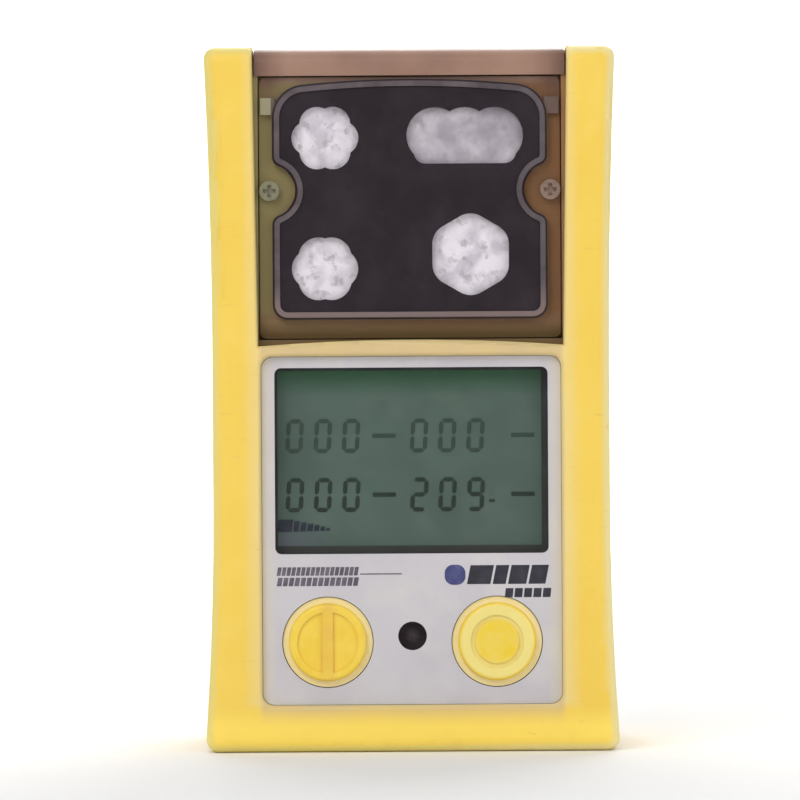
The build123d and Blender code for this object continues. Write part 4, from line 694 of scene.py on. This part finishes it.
def display_surround():
    """Dark mask on the glass, wider on the right and the bottom."""
    look = Look("lcd_mask", srgb(54, 56, 54), 0.55)
    look.paint(srgb(66, 72, 68), look.ramp(look.noise(3 * MM), 0.4, 0.7))
    low = look.ramp(look.axis("Z"), view_low + 1.2 * MM, view_low + 0.7 * MM)
    look.paint(srgb(66, 64, 60), look.both(low, 0.8))
    x0, x1 = view_left - MASK_REACH, view_right + MASK_REACH
    z0, z1 = view_low - MASK_REACH, view_high + MASK_REACH
    a0, a1 = view_left + MASK_LEFT, view_right - MASK_RIGHT
    b0, b1 = view_low + MASK_LOW, view_high - MASK_HIGH
    sides = [
        [(x0, z0), (x1, z0), (x1, b0), (x0, b0)],
        [(x0, b1), (x1, b1), (x1, z1), (x0, z1)],
        [(x0, b0), (a0, b0), (a0, b1), (x0, b1)],
        [(a1, b0), (x1, b0), (x1, b1), (a1, b1)],
    ]
    prisms("lcd_mask", sides, glass_front - 2 * INK, glass_front - 0.5 * INK, look.material)


# Bars on the label, from its left edge or from its right one, in rows about this far below the window.
PRINT_DROP = 3.5 * MM
LEFT_MARGIN = 2.2 * MM
RIGHT_MARGIN = 1.4 * MM
STROKE_ROWS = (0.74 * MM, 0.9 * MM)  # pitch of the short strokes in each row
ROW_LENGTH = 13.0 * MM
ROW_RISE = 0.85 * MM  # the first row's middle
ROW_PITCH = 1.6 * MM
ROW_HEIGHT = 1.3 * MM
RULE = (6.4 * MM, 0.18 * MM)  # thin line after the rows
RULE_PLACE = (16.0 * MM, 0.4 * MM)
SPOT = (3.2 * MM, 3.1 * MM, 1.3 * MM)  # width, height and corner
SPOT_INSET = 15.0 * MM
BAND_INSET = 12.9 * MM
BAND_RISE = 0.2 * MM  # middle of the spot and of the bands
BAND_WIDTHS = (3.6, 2.0, 2.8, 2.6)  # millimetres
BAND_GAP = 0.35
BAND_HEIGHT = 2.9 * MM
TICK_COUNT = 5
TICK = (1.2 * MM, 1.4 * MM)
TICK_INSET = 0.9
TICK_PITCH = 1.45
TICK_DROP = 2.6 * MM


def label_marks():
    """Plain bars on the label, in place of print."""
    grey = Look("label_ink_grey", srgb(84, 78, 92), 0.5)
    grey.paint(srgb(112, 104, 118), grey.ramp(grey.noise(1.0 * MM), 0.4, 0.7))
    dark = Look("label_ink_dark", srgb(34, 32, 44), 0.5)
    dark.paint(srgb(50, 47, 60), dark.ramp(dark.noise(1.0 * MM), 0.45, 0.7))
    navy = Look("label_ink_navy", srgb(58, 62, 112), 0.5)
    navy.paint(srgb(80, 84, 132), navy.ramp(navy.noise(1.0 * MM), 0.45, 0.7))
    front = label_low.y - INK
    z = view_low - PRINT_DROP
    left = label_low.x + LEFT_MARGIN
    strokes = []
    for row, pitch in enumerate(STROKE_ROWS):
        level = z + ROW_RISE - row * ROW_PITCH
        for i in range(int(ROW_LENGTH / pitch)):
            strokes.append(bar(left + (i + 0.5) * pitch, level, 0.8 * pitch, ROW_HEIGHT, 0.18))
    strokes.append(bar(left + RULE_PLACE[0], z + RULE_PLACE[1], *RULE))
    prisms("label_print_grey", strokes, front, label_low.y, grey.material)
    right = label_high.x - RIGHT_MARGIN
    block = [rounded_bar(right - SPOT_INSET, z + BAND_RISE, *SPOT)]
    prisms("label_print_navy", block, front, label_low.y, navy.material)
    x = right - BAND_INSET
    bands = []
    for width in BAND_WIDTHS:
        bands.append(bar(x + width * MM / 2, z + BAND_RISE, width * MM, BAND_HEIGHT, 0.2))
        x += (width + BAND_GAP) * MM
    for i in range(TICK_COUNT):
        bands.append(bar(right - (TICK_INSET + TICK_PITCH * i) * MM, z - TICK_DROP, *TICK, 0.1))
    prisms("label_print_dark", bands, front, label_low.y, dark.material)


# ---------------------------------------------------------------- floor, lights and camera
FLOOR_FRONT = -3.0
FLOOR_HALF_WIDTH = 2.5
FLOOR_TURN = 0.9  # the floor starts to curve up here
FLOOR_RADIUS = 0.6
WALL_TOP = 3.2


def backdrop():
    """Pale floor that curves up behind the object."""
    mesh = bmesh.new()
    profile = [(FLOOR_FRONT, 0.0), (FLOOR_TURN, 0.0)]
    for degrees in range(6, 91, 6):
        angle = math.radians(degrees)
        profile.append((FLOOR_TURN + FLOOR_RADIUS * math.sin(angle), FLOOR_RADIUS * (1 - math.cos(angle))))
    profile.append((FLOOR_TURN + FLOOR_RADIUS, WALL_TOP))
    rows = [[mesh.verts.new((side * FLOOR_HALF_WIDTH, y, z)) for side in (-1, 1)] for y, z in profile]
    for low, high in zip(rows, rows[1:]):
        face = mesh.faces.new((low[0], low[1], high[1], high[0]))
        face.smooth = True
    data = bpy.data.meshes.new("backdrop")
    mesh.to_mesh(data)
    mesh.free()
    piece = bpy.data.objects.new("backdrop", data)
    bpy.context.scene.collection.objects.link(piece)
    look = Look("backdrop", (0.87, 0.87, 0.87), 0.9)
    look.paint((0.85, 0.85, 0.85), look.ramp(look.noise(0.4), 0.4, 0.7))
    data.materials.append(look.material)


MIDDLE = (0, 0, 0.055)
WASH_TARGET = (0, 1.75, 0.35)
# Name, place, what it faces, width and power of each lamp. The last one whitens the backdrop.
LAMPS = (
    ("key", (-0.45, -0.75, 0.75), MIDDLE, 0.7, 4.7),
    ("fill", (0.7, -0.6, 0.3), MIDDLE, 0.9, 1.85),
    ("rim", (0.3, 0.7, 0.7), MIDDLE, 0.6, 1.3),
    ("wash", (0, 0.85, 1.2), WASH_TARGET, 1.4, 26.0),
)
WORLD_STRENGTH = 0.55


def area_light(name, place, target, size, power):
    data = bpy.data.lights.new(name, "AREA")
    data.shape = "DISK"
    data.size = size
    data.energy = power
    lamp = bpy.data.objects.new(name, data)
    lamp.location = place
    lamp.rotation_euler = (Vector(target) - Vector(place)).to_track_quat("-Z", "Y").to_euler()
    bpy.context.scene.collection.objects.link(lamp)


def studio():
    """White surroundings and the lamps."""
    world = bpy.data.worlds.new("studio")
    world.use_nodes = True
    background = world.node_tree.nodes["Background"]
    background.inputs["Color"].default_value = (1, 1, 1, 1)
    background.inputs["Strength"].default_value = WORLD_STRENGTH
    bpy.context.scene.world = world
    for lamp in LAMPS:
        area_light(*lamp)


FRAME_WIDTH = 0.1226  # what the camera sees across, at the boot's front face
LENS = 180.0
SENSOR = 36.0
ROLL = 0.36  # degrees, so that the object leans a little to the left
CAMERA_X = -0.0017
CAMERA_Z = 0.05405


def camera():
    data = bpy.data.cameras.new("camera")
    data.lens = LENS
    data.sensor_width = SENSOR
    data.clip_start = 0.01
    made = bpy.data.objects.new("camera", data)
    distance = FRAME_WIDTH * LENS / SENSOR
    made.location = (CAMERA_X, boot_low.y - distance, CAMERA_Z)
    made.rotation_euler = (math.radians(90), math.radians(ROLL), 0)
    bpy.context.scene.collection.objects.link(made)
    bpy.context.scene.camera = made


camera()
studio()
backdrop()
dress_nodes()
display_marks(lcd_ink().material)
status_marks()
display_surround()
label_marks()
bpy.context.scene.view_settings.view_transform = "Standard"
